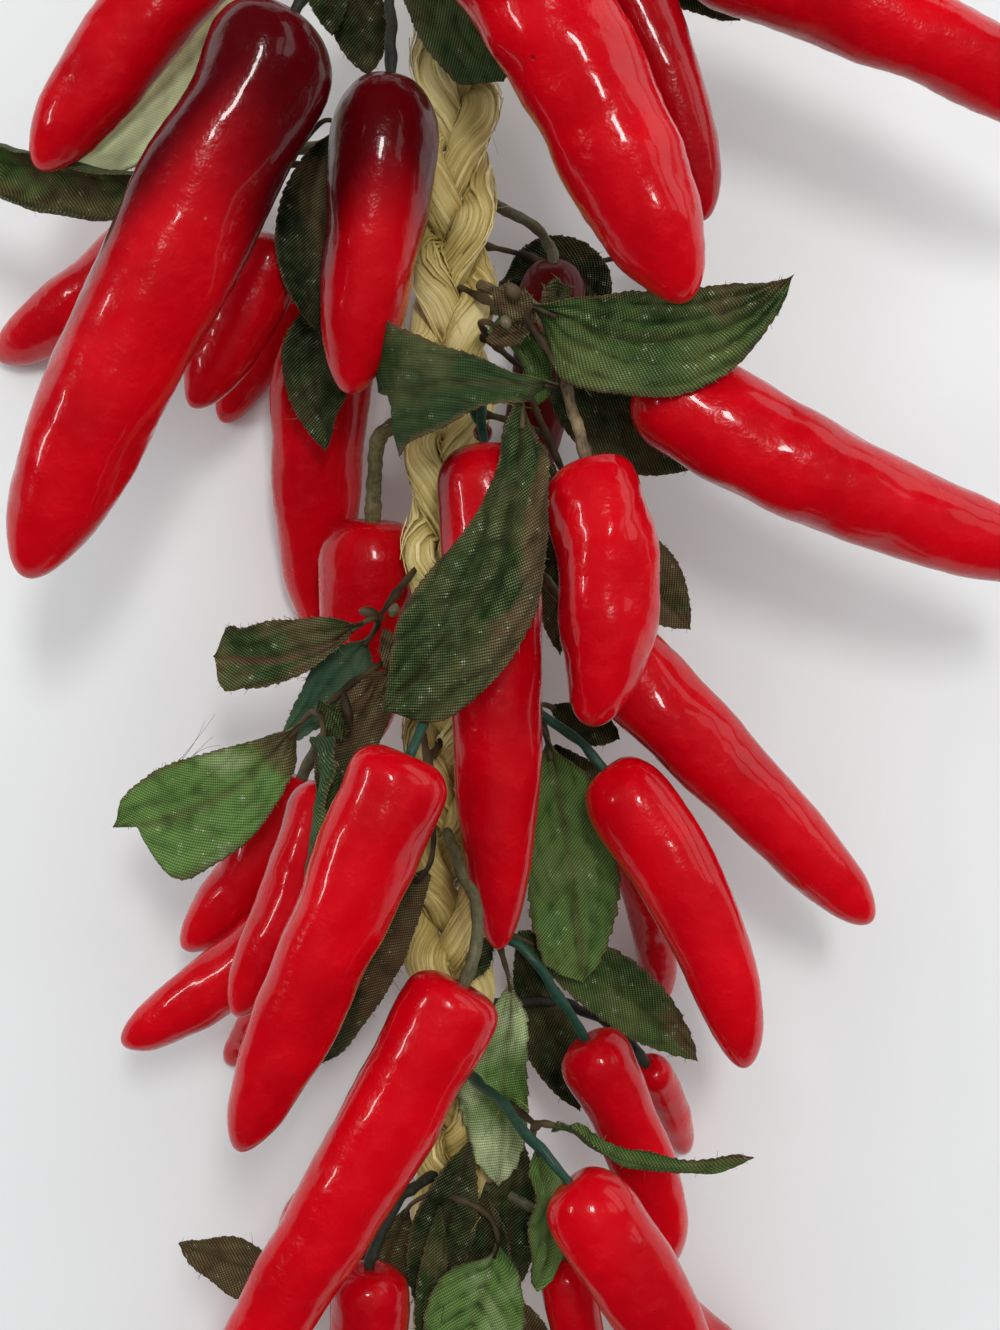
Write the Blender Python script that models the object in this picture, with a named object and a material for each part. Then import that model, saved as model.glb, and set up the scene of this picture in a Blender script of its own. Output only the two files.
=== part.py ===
"""A hanging garland of artificial chillies on a three-strand raffia braid.

The string lies down with its shown side up: +Y is its top, +Z faces the
viewer.  Chillies and leaf sprays are placed by hand from the tables below,
then eased apart by settle() until nothing touches, and the lowest chillies
are pressed flat on the ground they lie on.  Tables are in millimetres.
"""
import math

import bpy
import numpy as np

MM = 0.001

# ---- driving dimensions (millimetres, degrees) ----
BRAID_TOP = 214.0
BRAID_FOOT = -206.0
BRAID_HEIGHT = 46.0
BRAID_PITCH = 70.0
BRAID_SWING = 6.2
BRAID_WEAVE = 5.0
STRAND_HALF_WIDTH = 3.8
STRAND_HALF_DEPTH = 2.35
STRAND_ROUND = 3.1
STRAND_STEP = 8.75
STRAND_SIDES = 6
WOVEN_TO = BRAID_PITCH * 8 / 3
BRAID_BLEND = 19.0
STRAND_PITCH_FLAT = 6.7
TASSEL = 32.0
TASSEL_SPREAD = 12.0
LOOP_HEIGHT = 40.0
LOOP_HALF_WIDTH = 12.2
LOOP_RADIUS = 1.7
LOOP_LEG = 15.0
TIE_RADIUS = 1.3
TIE_HALF_WIDTH = 16.2
TIE_HALF_DEPTH = 5.2
STEM_RADIUS = 1.15
STEM_CLEAR = 2.2
LEAF_THICK = 0.5
PETIOLE = 0.85
EYE_HEIGHT = 446.0
FLAT = 0.5
GAP = 0.7
RESTING = 8

# ---- chillies: head, tip, thickness, bow to the left, arch up, taper,
#      anchor on the braid (height along it, turn: 0 right, 90 front),
#      place (front, back or spare) and whether the tip rests on the ground
CHILLIES = {
    "01": ((-46.5, 183, 74), (-104, 111.5, 68), 25.5, 0, 3, 0.34, (199, 160), "front", 0),
    "02": ((-42.3, 142.5, 86), (-103, 19, 82), 30.5, -0.5, 4, 0.29, (178, 128), "front", 0),
    "03": ((-24.5, 132, 74), (-34, 61, 66), 27.5, 1, 2, 0.32, (171, 135), "front", 0),
    "04": ((-66, 121, 26), (-132.5, 81, 13), 23, 3, 2, 0.40, (124, 200), "back", 1),
    "05": ((-51, 101, 52), (-73, 61, 48), 18.5, 1, 1, 0.30, (128, 180), "front", 0),
    "06": ((-44, 107, 18), (-73, 64, 10), 17, 0, 0, 0.35, (116, 225), "back", 1),
    "07": ((-40, 86, 26), (-43.5, 3, 14), 26, -4, 0, 0.44, (98, 215), "back", 1),
    "08": ((-31, 38, 34), (-35, -22, 24), 27, 0, 0, 0.30, (58, 190), "front", 0),
    "09": ((-7.5, 51.5, 68), (-4.2, -65.5, 66), 23.5, 1, 3, 0.26, (66, 60), "front", 0),
    "10": ((18, 46, 80), (19.4, -13.5, 78), 25.2, 4, 2, 0.14, (88, 40), "front", 0),
    "11": ((31.5, 66, 66), (128, 23, 64), 27.3, -5, 4, 0.44, (84, 10), "front", 0),
    "12": ((20, 8.5, 54), (87.5, -60.5, 50), 22.5, 0.5, 3, 0.42, (27, 0), "front", 0),
    "13": ((-20, 188, 90), (40, 77.5, 86), 32.5, 2, 4, 0.34, (201, 85), "front", 0),
    "14": ((13, 181, 70), (47, 102, 64), 19, 5, 2, 0.34, (191, 30), "front", 0),
    "15": ((39, 161, 72), (135, 120.5, 68), 25, 1.5, 3, 0.38, (178, 20), "front", 0),
    "16": ((13, 100, 30), (4, 42, 14), 18, 2, 0, 0.30, (112, 330), "back", 1),
    "19": ((23, -23, 60), (56, -92, 62), 21.5, 5, 4, 0.34, (-9, 20), "front", 0),
    "20": ((30, -41, 30), (42.5, -89, 8), 13, 2, 1, 0.34, (-29, 340), "back", 1),
    "21": ((19, -85, 60), (40, -144, 44), 18.8, 3, 2, 0.30, (-62, 40), "front", 0),
    "22": ((36, -99, 22), (49, -129, 8), 11.5, 1, 0, 0.34, (-82, 330), "back", 1),
    "23": ((14, -112, 78), (48, -177, 72), 21.5, 4, 3, 0.34, (-94, 70), "front", 0),
    "24": ((14, -139, 50), (23, -195, 48), 14, 1, 1, 0.34, (-124, 30), "front", 0),
    "25": ((25, -149, 28), (75, -200, 12), 19, 2, 1, 0.40, (-122, 335), "back", 1),
    "26": ((-24, -138, 62), (-33, -211, 52), 18, 2, 2, 0.34, (-120, 120), "front", 0),
    "27": ((-7.2, -67, 86), (-61, -160, 82), 22.5, 1, 3, 0.34, (-40, 88), "front", 0),
    "28": ((-20, -17.8, 85), (-57, -104, 82), 23.3, 0, 3, 0.40, (3, 95), "front", 0),
    "29": ((-38, -26, 64), (-60.5, -80, 62), 18.3, 2, 2, 0.34, (-3, 150), "front", 0),
    "30": ((-47, -26, 42), (-77, -69, 38), 19.6, 3, 1, 0.36, (-9, 185), "front", 0),
    "31": ((-36, -50, 50), (-90.5, -90.5, 44), 19.4, 2, 2, 0.40, (-34, 175), "front", 0),
    "32": ((-41, -62, 22), (-72, -105, 10), 17, 2, 0, 0.40, (-49, 215), "back", 1),
    "34": ((-42, -129, 28), (-77, -191, 10), 18, 3, 1, 0.38, (-106, 200), "back", 1),
    "35": ((-26, 204, 58), (-88, 226, 46), 20.5, -3, 2, 0.36, (207, 165), "spare", 0),
    "36": ((8, 208, 60), (66, 233, 50), 21, 3, 2, 0.36, (204, 20), "spare", 0),
    "37": ((14, 190, 24), (70, 198, 12), 20, 2, 1, 0.38, (184, 320), "spare", 1),
    "38": ((-24, -180, 60), (-70, -224, 50), 21, 3, 2, 0.36, (-165, 150), "spare", 0),
    "39": ((4, -184, 58), (50, -228, 48), 20, -3, 2, 0.36, (-170, 30), "spare", 0),
}

# ---- leaves: base, tip, half width, roll (90 = edge on), bow, arch, fold,
#      where the blade is broadest
LEAVES = {
    "a": ((7, 78, 80), (64, 85, 84), 12.6, 4, -10.5, 1, 11, 0.48),
    "b": ((12, 61, 76), (-26, 61, 62), 15.0, 0, 0, 11, 9, 0.66),
    "c": ((0, 77, 72), (11, 59, 73), 5.0, 25, 3, 0, 14, 0.5),
    "d": ((10, 68, 54), (50, 48, 50), 11.5, 0, 0, 0, 10, 0.5),
    "e": ((5, 58, 78), (-25, -10, 87), 13.4, -8, 9, 4, 13, 0.62),
    "f": ((20, 36, 54), (45, 8, 48), 8.0, 5, 0, 0, 10, 0.45),
    "g": ((0, 96, 22), (27, 88, 20), 7.5, 0, 9, 0, 10, 0.5),
    "h": ((-55, 161, 56), (-103, 113, 52), 11.0, 0, 2, 0, 10, 0.5),
    "i": ((-41, 171, 60), (-39, 146, 56), 5.0, 0, 0, 0, 10, 0.5),
    "j": ((-66, 108.5, 58), (-133, 123.5, 50), 9.0, 50, 4, 2, 12, 0.5),
    "k": ((-38, 126, 54), (-43, 78, 50), 7.2, 12, -5, 0, 10, 0.5),
    "l": ((-24, 166, 64), (-2, 133, 62), 12.0, 6, 2, 2, 11, 0.5),
    "m": ((23, 175, 58), (56, 150, 54), 8.0, 0, 0, 0, 10, 0.5),
    "n": ((-41, 88, 48), (-42, 51, 44), 8.4, -10, -2, 0, 10, 0.45),
    "o": ((-30, 8.5, 66), (-65, 2, 66), 7.4, 6, 4, 1, 12, 0.5),
    "p": ((-29, 5, 58), (-48, -20, 60), 7.2, 0, 0, 0, 10, 0.42),
    "q": ((-25, 1, 60), (-41, -28, 76), 6.5, 20, 0, 0, 14, 0.45),
    "r": ((-38, -16, 79), (-42, -54, 84), 6.0, 68, 1, 1, 12, 0.5),
    "s": ((-44, -13, 68), (-88, -37, 64), 11.4, 4, 6, 2, 11, 0.55),
    "t": ((11, -17, 52), (20, -76, 46), 10.4, 0, 1, 0, 10, 0.5),
    "u": ((12, -10, 46), (29, -18, 41), 4.6, 0, 0, 0, 10, 0.5),
    "v": ((-17, -47, 60), (-44, -96, 50), 8.6, 12, -4, 0, 10, 0.5),
    "w": ((3, -65, 46), (48, -96, 40), 7.4, 0, 3, 1, 10, 0.5),
    "x": ((1, -72, 62), (-2, -122, 58), 8.6, -6, 4, 0, 11, 0.5),
    "y": ((12, -104, 66), (57, -111, 66), 6.5, 48, -2, -2, 12, 0.5),
    "z": ((8, -110, 62), (8, -144, 60), 6.8, 38, 3, 0, 12, 0.5),
    "aa": ((-1, -133, 60), (-12, -167, 56), 10.4, 0, 0, 1, 10, 0.45),
    "ab": ((-22, -127, 54), (-34, -160, 48), 6.8, 10, 0, 0, 10, 0.5),
    "ac": ((2, -148, 50), (10, -168, 48), 6.2, 0, 0, 0, 10, 0.5),
    "ad": ((-44, -144, 60), (-74, -133, 60), 6.4, 10, 0, 0, 10, 0.5),
    "ae": ((12, -188, 46), (32, -214, 40), 8.5, 0, 2, 0, 10, 0.5),
    "af": ((-36, 188, 62), (-72, 204, 56), 9.0, 0, 3, 0, 10, 0.5),
    "ag": ((16, 218, 60), (46, 224, 56), 8.5, 0, 3, 0, 10, 0.5),
    "ah": ((34, 104, 16), (66, 92, 10), 8.5, 0, 2, 0, 10, 0.5),
}

# ---- sprays: one leaf, or two leaves joined at a fork
SPRAYS = {
    "01": ("a", "b"),
    "02": ("c", "d"),
    "03": ("e", "f"),
    "04": ("g", "ah"),
    "05": ("h", "i"),
    "06": ("j", "k"),
    "07": ("l", "m"),
    "08": ("o", "p"),
    "09": ("s", "r"),
    "10": ("q", "v"),
    "11": ("t", "u"),
    "12": ("w", "x"),
    "13": ("y", "z"),
    "14": ("aa", "ab"),
    "15": ("ac", "ae"),
    "16": ("ad",),
    "17": ("n",),
    "18": ("af", "ag"),
}

FRONT_RINGS = (0.05, 0.36, 1.05, 0.32, 0.58, 1.00, 0.55, 0.14)
SMALL_RINGS = (0.10, 0.95, 0.45, 0.95, 0.30)


def vec(*values):
    return np.array(values, dtype=float)


def unit(v):
    """A vector, or rows of vectors, scaled to length one."""
    return v / np.maximum(np.linalg.norm(v, axis=-1, keepdims=True), 1e-9)


def smooth(t):
    """Eases from 0 to 1."""
    t = np.clip(t, 0.0, 1.0)
    return t * t * (3.0 - 2.0 * t)


def bezier(a, b, c, d, t):
    """Points of a cubic curve at the values t."""
    t = np.asarray(t, dtype=float)[:, None]
    u = 1.0 - t
    return u ** 3 * a + 3 * u * u * t * b + 3 * u * t * t * c + t ** 3 * d


def tangents(points):
    """Unit directions along a polyline."""
    return unit(np.gradient(points, axis=0))


# ---- braid ----

def braid_axis(y):
    """Middle line of the braid: a slight sideways sag, level on its height."""
    y = np.asarray(y, dtype=float)
    x = -12.6 + 2.4 * (y / 140.0) ** 2 * np.exp(-(y / 260.0) ** 2)
    return np.stack([x, y, np.full_like(y, BRAID_HEIGHT)], axis=-1)


def strand_line(index, y):
    """Middle line of one strand and how much it is braided there."""
    y = np.asarray(y, dtype=float)
    woven = np.clip(y, -WOVEN_TO, WOVEN_TO)
    phase = 2 * math.pi * (woven / BRAID_PITCH + index / 3.0)
    axis = braid_axis(y)
    ends = 1.0 - smooth((np.abs(y) - WOVEN_TO) / BRAID_BLEND)
    slot = end_slots(index)
    side = np.where(y > 0, slot[0], slot[1]) * STRAND_PITCH_FLAT
    fan = smooth((BRAID_FOOT - 4.0 - y) / TASSEL) * TASSEL_SPREAD / STRAND_PITCH_FLAT
    x = ends * BRAID_SWING * np.sin(phase) + (1 - ends) * side * (1.0 + fan)
    z = ends * BRAID_WEAVE * np.sin(2 * phase)
    return axis + np.stack([x, 0 * y, z], axis=-1), ends, phase


def end_slots(index):
    """Side of each strand at the two tied ends: -1, 0 or 1."""
    slots = []
    for y in (WOVEN_TO, -WOVEN_TO):
        phases = [2 * math.pi * (y / BRAID_PITCH + k / 3.0) for k in range(3)]
        order = sorted(range(3), key=lambda k: math.sin(phases[k]))
        slots.append(order.index(index) - 1.0)
    return slots


def strand_rings(index):
    """Rings of one strand: a flat section that leans with the weave."""
    y = np.arange(BRAID_FOOT - TASSEL, BRAID_TOP + 8.0, STRAND_STEP)
    line, ends, phase = strand_line(index, y)
    run = tangents(line)
    lean = np.arctan2(2 * BRAID_WEAVE * np.cos(2 * phase), BRAID_SWING * np.cos(phase))
    lean = np.unwrap(2 * lean) / 2
    rest = np.round(lean / math.pi) * math.pi
    lean = ends * lean + (1 - ends) * rest
    wide = np.stack([np.cos(lean), 0 * lean, np.sin(lean)], axis=-1)
    wide = unit(wide - run * np.sum(wide * run, axis=1, keepdims=True))
    deep = np.cross(wide, run)
    half_w = ends * STRAND_HALF_WIDTH + (1 - ends) * STRAND_ROUND
    half_d = ends * STRAND_HALF_DEPTH + (1 - ends) * STRAND_ROUND
    foot = smooth((BRAID_FOOT - 8.0 - y) / (TASSEL - 8.0))
    half_w = half_w * (1 + 0.55 * foot)
    half_d = half_d * (1 - 0.45 * foot)
    angle = 2 * math.pi * (np.arange(STRAND_SIDES) + 0.5) / STRAND_SIDES
    rings = (line[:, None, :]
             + wide[:, None, :] * (np.cos(angle)[None, :, None] * half_w[:, None, None])
             + deep[:, None, :] * (np.sin(angle)[None, :, None] * half_d[:, None, None]))
    return line, wide, rings


def on_braid(height, turn, clear):
    """A point just off the braid at a height and a turn round it."""
    axis = braid_axis([height])[0]
    a = math.radians(turn)
    reach = vec(BRAID_SWING + STRAND_HALF_WIDTH + clear, 0,
                BRAID_WEAVE + STRAND_HALF_DEPTH + 1.0 + clear)
    way = vec(math.cos(a), 0.0, math.sin(a))
    return axis + reach * way, way


# ---- chillies ----

def body_radius(s, length, radius, taper):
    """Chilli radius along its length: domed head, slow taper, round tip."""
    s = np.asarray(s, dtype=float)
    dome = 0.66 * radius / length
    rise = np.sqrt(np.clip(1.0 - (1.0 - np.clip(s / dome, 0, 1)) ** 2, 0, 1))
    head = 0.14 + 0.84 * rise
    along = np.clip((s - dome) / (1.0 - dome), 0, 1)
    swell = 1.0 + 0.02 * np.sin(math.pi * np.clip(along * 2.2, 0, 1))
    taper_part = 1.0 - taper * along ** 1.5
    zone = min(0.42, 2.2 * (1 - taper) * radius / length)
    close = np.clip((s - (1.0 - zone)) / zone, 0, 1)
    tip = np.sqrt(np.clip(1.0 - close ** 2.0, 0.0, 1.0))
    return radius * head * swell * taper_part * tip, zone, dome


class Chilli:
    """One chilli with its wire stem; moved by five displacement nodes."""

    def __init__(self, name, row):
        head, tip, thick, bow, arch, taper, anchor, place, rests = row
        self.name = "chilli_" + name
        self.radius = thick / 2.0
        self.taper = taper
        self.place = place
        self.rests = rests
        self.nodes = 6
        self.small = place != "front"
        self.free = {"front": 0.06, "back": 0.4, "spare": 0.8}[place]
        head = vec(*head)
        tip = vec(*tip)
        chord = tip - head
        left = unit(np.cross(vec(0, 0, 1), chord))
        lift = left * bow * 1.333 + vec(0, 0, 1) * arch * 1.333
        self.curve = (head, head + chord / 3 + lift, head + chord * 2 / 3 + lift, tip)
        self.length = float(np.linalg.norm(chord))
        self.anchor, self.way = on_braid(anchor[0], anchor[1], STEM_CLEAR)
        out = unit(self.curve[0] - self.curve[1])
        span = float(np.linalg.norm(head - self.anchor))
        self.stem = (head, head + out * span * 0.42,
                     self.anchor + self.way * span * 0.30, self.anchor)
        self.shift = np.zeros((self.nodes, 3))

    def body(self, s):
        """Middle line of the body with the current displacement."""
        s = np.asarray(s, dtype=float)
        line = bezier(*self.curve, s)
        return line + (1 - s)[:, None] * self.shift[0] + s[:, None] * self.shift[1]

    def wire(self, t):
        """Middle line of the stem, from the head (0) to the braid (1)."""
        t = np.asarray(t, dtype=float)
        knots = np.vstack([self.shift[0], self.shift[2:6]])
        place = np.clip(t, 0, 1) * 4
        low = np.minimum(place.astype(int), 3)
        part = (place - low)[:, None]
        move = knots[low] * (1 - part) + knots[low + 1] * part
        return bezier(*self.stem, t) + move

    def particles(self):
        """Balls along the body and stem: node pair, weight, radius, kind."""
        count = max(9, int(self.length / (0.42 * self.radius)))
        s = np.linspace(0.0, 1.0, count)
        r, zone, dome = body_radius(s, self.length, self.radius, self.taper)
        s_in = np.clip(s, 0.35 * dome, 1.0 - 0.35 * zone)
        r_in = body_radius(s_in, self.length, self.radius, self.taper)[0]
        body = [(0, 1, v, max(rad, 1.0), 0, ("b", v)) for v, rad in zip(s_in, r_in)]
        span = float(np.linalg.norm(self.stem[0] - self.stem[3]))
        steps = max(4, int(span / 3.0))
        wire = []
        for t in np.linspace(0.0, 1.0, steps + 2)[1:]:
            place = t * 4
            low = min(int(place), 3)
            order = (0, 2, 3, 4, 5)
            wire.append((order[low], order[low + 1], place - low, STEM_RADIUS, 1, ("w", t)))
        return body + wire

    def positions(self, marks):
        where = np.zeros((len(marks), 3))
        body = [i for i, m in enumerate(marks) if m[0] == "b"]
        wire = [i for i, m in enumerate(marks) if m[0] == "w"]
        where[body] = self.body([marks[i][1] for i in body])
        where[wire] = self.wire([marks[i][1] for i in wire])
        return where

    def relax(self):
        """Keeps the stem's bends even between its two ends."""
        s = self.shift
        before = np.vstack([s[0], s[2:5]])
        after = np.vstack([s[3:6], s[5:6]])
        s[2:5] = 0.5 * s[2:5] + 0.25 * (before[:3] + after[:3])
        s[5] *= 0.7

    def rings(self):
        """Rings from the braid end of the stem to the tip."""
        length = float(np.sum(np.linalg.norm(np.diff(self.body(np.linspace(0, 1, 24)),
                                                     axis=0), axis=1)))
        radius, zone, dome = body_radius([0.5], length, self.radius, self.taper)
        if self.small:
            a, b, c, d, e = SMALL_RINGS
            stations = [a * dome, b * dome, c, 1 - d * zone, 1 - e * zone]
            wires = [1.0, 0.5, 0.10]
            sides = 6
        else:
            a, b, c, d, e, f, g, h = FRONT_RINGS
            stations = [a * dome, b * dome, c * dome, d, e,
                        1 - f * zone, 1 - g * zone, 1 - h * zone]
            wires = [1.0, 0.66, 0.33, 0.08]
            sides = 8
        stations = sorted(stations)
        radii = body_radius(stations, length, self.radius, self.taper)[0]
        wide = body_radius(np.maximum(stations, 0.0), length, self.radius, self.taper)[0]
        fine = np.linspace(0, 1, 41)
        line = np.vstack([self.wire(1.0 - fine)[:-1], self.body(fine)])
        turn = tangents(line)
        marks = [40 * (1.0 - t) for t in wires] + [40 + 40 * v for v in stations]
        sizes = [STEM_RADIUS] * (len(wires) - 1) + [STEM_RADIUS * 1.15] + list(wide)
        rings = []
        for mark, size in zip(marks, sizes):
            low = min(int(mark), len(line) - 2)
            part = mark - low
            middle = line[low] * (1 - part) + line[low + 1] * part
            along = unit(turn[low] * (1 - part) + turn[low + 1] * part)
            rings.append(round_ring(middle, along, size, sides))
        return line[0], rings, line[-1]


def round_ring(middle, along, radius, sides):
    """A ring with one flat side facing down."""
    side = np.cross(along, vec(0, 0, 1))
    if np.linalg.norm(side) < 0.2:
        side = vec(1, 0, 0) - along * along[0]
    side = unit(side)
    up = np.cross(side, along)
    angle = 2 * math.pi * (np.arange(sides) + 0.5) / sides + math.pi / 2
    return middle + radius * (np.cos(angle)[:, None] * side + np.sin(angle)[:, None] * up)


# ---- leaves ----

def blade_width(s, half, broadest):
    """Half width of a blade along it: narrow base, full middle, sharp tip."""
    s = np.asarray(s, dtype=float)
    power = math.log(0.5) / math.log(broadest)
    return np.maximum(half * np.sin(math.pi * s ** power) ** 0.8, 0.0)


class Spray:
    """One blade, or two blades joined base to base by their stalks."""

    def __init__(self, name, letters):
        self.name = "spray_" + name
        self.leaves = [LEAVES[letter] for letter in letters]
        self.nodes = 3
        self.rests = 0
        self.free = 0.15
        self.shift = np.zeros((self.nodes, 3))
        self.line, self.mark, self.blade = self.path()

    def path(self):
        """Fine path: tip, base, fork, base, tip, with blade numbers."""
        fine = np.linspace(0, 1, 25)
        runs = []
        for base, tip, half, roll, bow, arch, fold, broadest in self.leaves:
            base = vec(*base)
            tip = vec(*tip)
            chord = tip - base
            left = unit(np.cross(vec(0, 0, 1), chord))
            lift = left * bow * 1.333 + vec(0, 0, 1) * arch * 1.333
            runs.append(bezier(base, base + chord / 3 + lift, base + chord * 2 / 3 + lift,
                               tip, fine))
        first = runs[0][::-1]
        if len(runs) == 1:
            out = unit(first[-1] - first[-2])
            tail = first[-1] + out * np.linspace(1.0, 7.0, 7)[:, None]
            line = np.vstack([first, tail])
            mark = np.concatenate([np.linspace(0, 1, 25), np.linspace(1.1, 2.0, 7)])
            blade = [0] * 25 + [-1] * 7
            return line, mark, np.array(blade)
        second = runs[1]
        reach = float(np.clip(0.4 * np.linalg.norm(first[-1] - second[0]), 5.0, 9.0))
        out = unit(first[-1] - first[-2])
        back = unit(second[0] - second[1])
        fork = bezier(first[-1], first[-1] + out * reach, second[0] + back * reach,
                      second[0], np.linspace(0, 1, 17))
        line = np.vstack([first, fork[1:-1], second])
        mark = np.concatenate([np.linspace(0, 0.9, 25), np.linspace(0.9, 1.1, 17)[1:-1],
                               np.linspace(1.1, 2.0, 25)])
        blade = [0] * 25 + [-1] * 15 + [1] * 25
        return line, mark, np.array(blade)

    def moved(self):
        """The path with the current displacement."""
        low = np.minimum(self.mark.astype(int), 1)
        part = (self.mark - low)[:, None]
        return self.line + self.shift[low] * (1 - part) + self.shift[low + 1] * part

    def sections(self):
        """Per path point: side, normal, half width and edge lift."""
        line = self.moved()
        along = tangents(line)
        side = np.zeros_like(line)
        half = np.full(len(line), PETIOLE)
        lift = np.zeros(len(line))
        roll = np.zeros(len(line))
        for number, leaf in enumerate(self.leaves):
            rows = np.where(self.blade == number)[0]
            s = np.linspace(0, 1, len(rows))
            if number == 0:
                s = s[::-1]
            half[rows] = np.maximum(blade_width(s, leaf[2], leaf[7]), PETIOLE)
            lift[rows] = half[rows] * math.tan(math.radians(leaf[6])) * smooth(s * 5)
            roll[rows] = math.radians(leaf[3]) * (1 if number else -1)
        rows = np.where(self.blade == -1)[0]
        if len(self.leaves) == 2:
            roll[rows] = np.linspace(roll[rows[0] - 1], roll[rows[-1] + 1], len(rows))
        else:
            roll[rows] = roll[rows[0] - 1]
        flat = np.cross(along, vec(0, 0, 1))
        weak = np.linalg.norm(flat, axis=1) < 0.15
        flat[weak] = vec(1, 0, 0)
        flat = unit(flat)
        upright = unit(np.cross(flat, along))
        cos = np.cos(roll)[:, None]
        sin = np.sin(roll)[:, None]
        side = flat * cos + upright * sin
        normal = upright * cos - flat * sin
        return line, side, normal, half, lift

    def particles(self):
        line, side, normal, half, lift = self.sections()
        out = []
        step = np.linalg.norm(np.diff(line, axis=0), axis=1)
        travel = np.concatenate([[0.0], np.cumsum(step)])
        count = int(travel[-1] / 4.5)
        for far in np.linspace(1.0, travel[-1] - 1.0, count):
            row = int(np.argmin(np.abs(travel - far)))
            lanes = [0.0]
            if half[row] > 2.5:
                lanes = [-0.92, 0.0, 0.92]
            if half[row] > 6.5:
                lanes = [-0.95, -0.5, 0.0, 0.5, 0.95]
            low = min(int(self.mark[row]), 1)
            for lane in lanes:
                out.append((low, low + 1, self.mark[row] - low, 1.1, 2, (row, lane)))
        return out

    def positions(self, marks):
        line, side, normal, half, lift = self.sections()
        rows = np.array([m[0] for m in marks])
        lanes = np.array([m[1] for m in marks])[:, None]
        return (line[rows] + side[rows] * half[rows][:, None] * lanes
                + normal[rows] * lift[rows][:, None] * np.abs(lanes))

    def relax(self):
        middle = 0.5 * (self.shift[0] + self.shift[2])
        self.shift[1] = 0.85 * self.shift[1] + 0.15 * middle

    def rings(self):
        """Four-point rings: one edge, top, other edge, underside."""
        line, side, normal, half, lift = self.sections()
        last = len(line) - 1
        rows = [2, 7, 13, 19, 24]
        if len(self.leaves) == 2:
            rows = rows + [28, 32, 36, last - 24, last - 19, last - 13, last - 7, last - 2]
        else:
            rows = rows + [29]
        rings = []
        for row in rows:
            thick = LEAF_THICK if half[row] > 1.6 else PETIOLE
            rings.append(np.array([
                line[row] - side[row] * half[row] + normal[row] * lift[row],
                line[row] - normal[row] * thick,
                line[row] + side[row] * half[row] + normal[row] * lift[row],
                line[row] + normal[row] * thick,
            ]))
        return line[0], rings, line[last]


# ---- easing apart ----

def fixed_balls():
    """Balls that stand for the braid, the ties and the loop."""
    balls = []
    for index in range(3):
        line, wide, rings = strand_rings(index)
        y = np.arange(BRAID_FOOT - TASSEL + 2, BRAID_TOP + 6, 3.0)
        mid = np.stack([np.interp(y, line[:, 1], line[:, k]) for k in range(3)], axis=1)
        across = np.stack([np.interp(y, line[:, 1], wide[:, k]) for k in range(3)], axis=1)
        balls.append(mid + across * 1.7)
        balls.append(mid - across * 1.7)
    radius = [2.7] * sum(len(b) for b in balls)
    for y in (BRAID_TOP, BRAID_FOOT):
        ring = tie_line(y)
        balls.append(ring)
        radius += [TIE_RADIUS + 0.4] * len(ring)
    loop = loop_line(40)
    balls.append(loop)
    radius += [LOOP_RADIUS + 0.3] * len(loop)
    return np.vstack(balls), np.array(radius)


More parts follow.
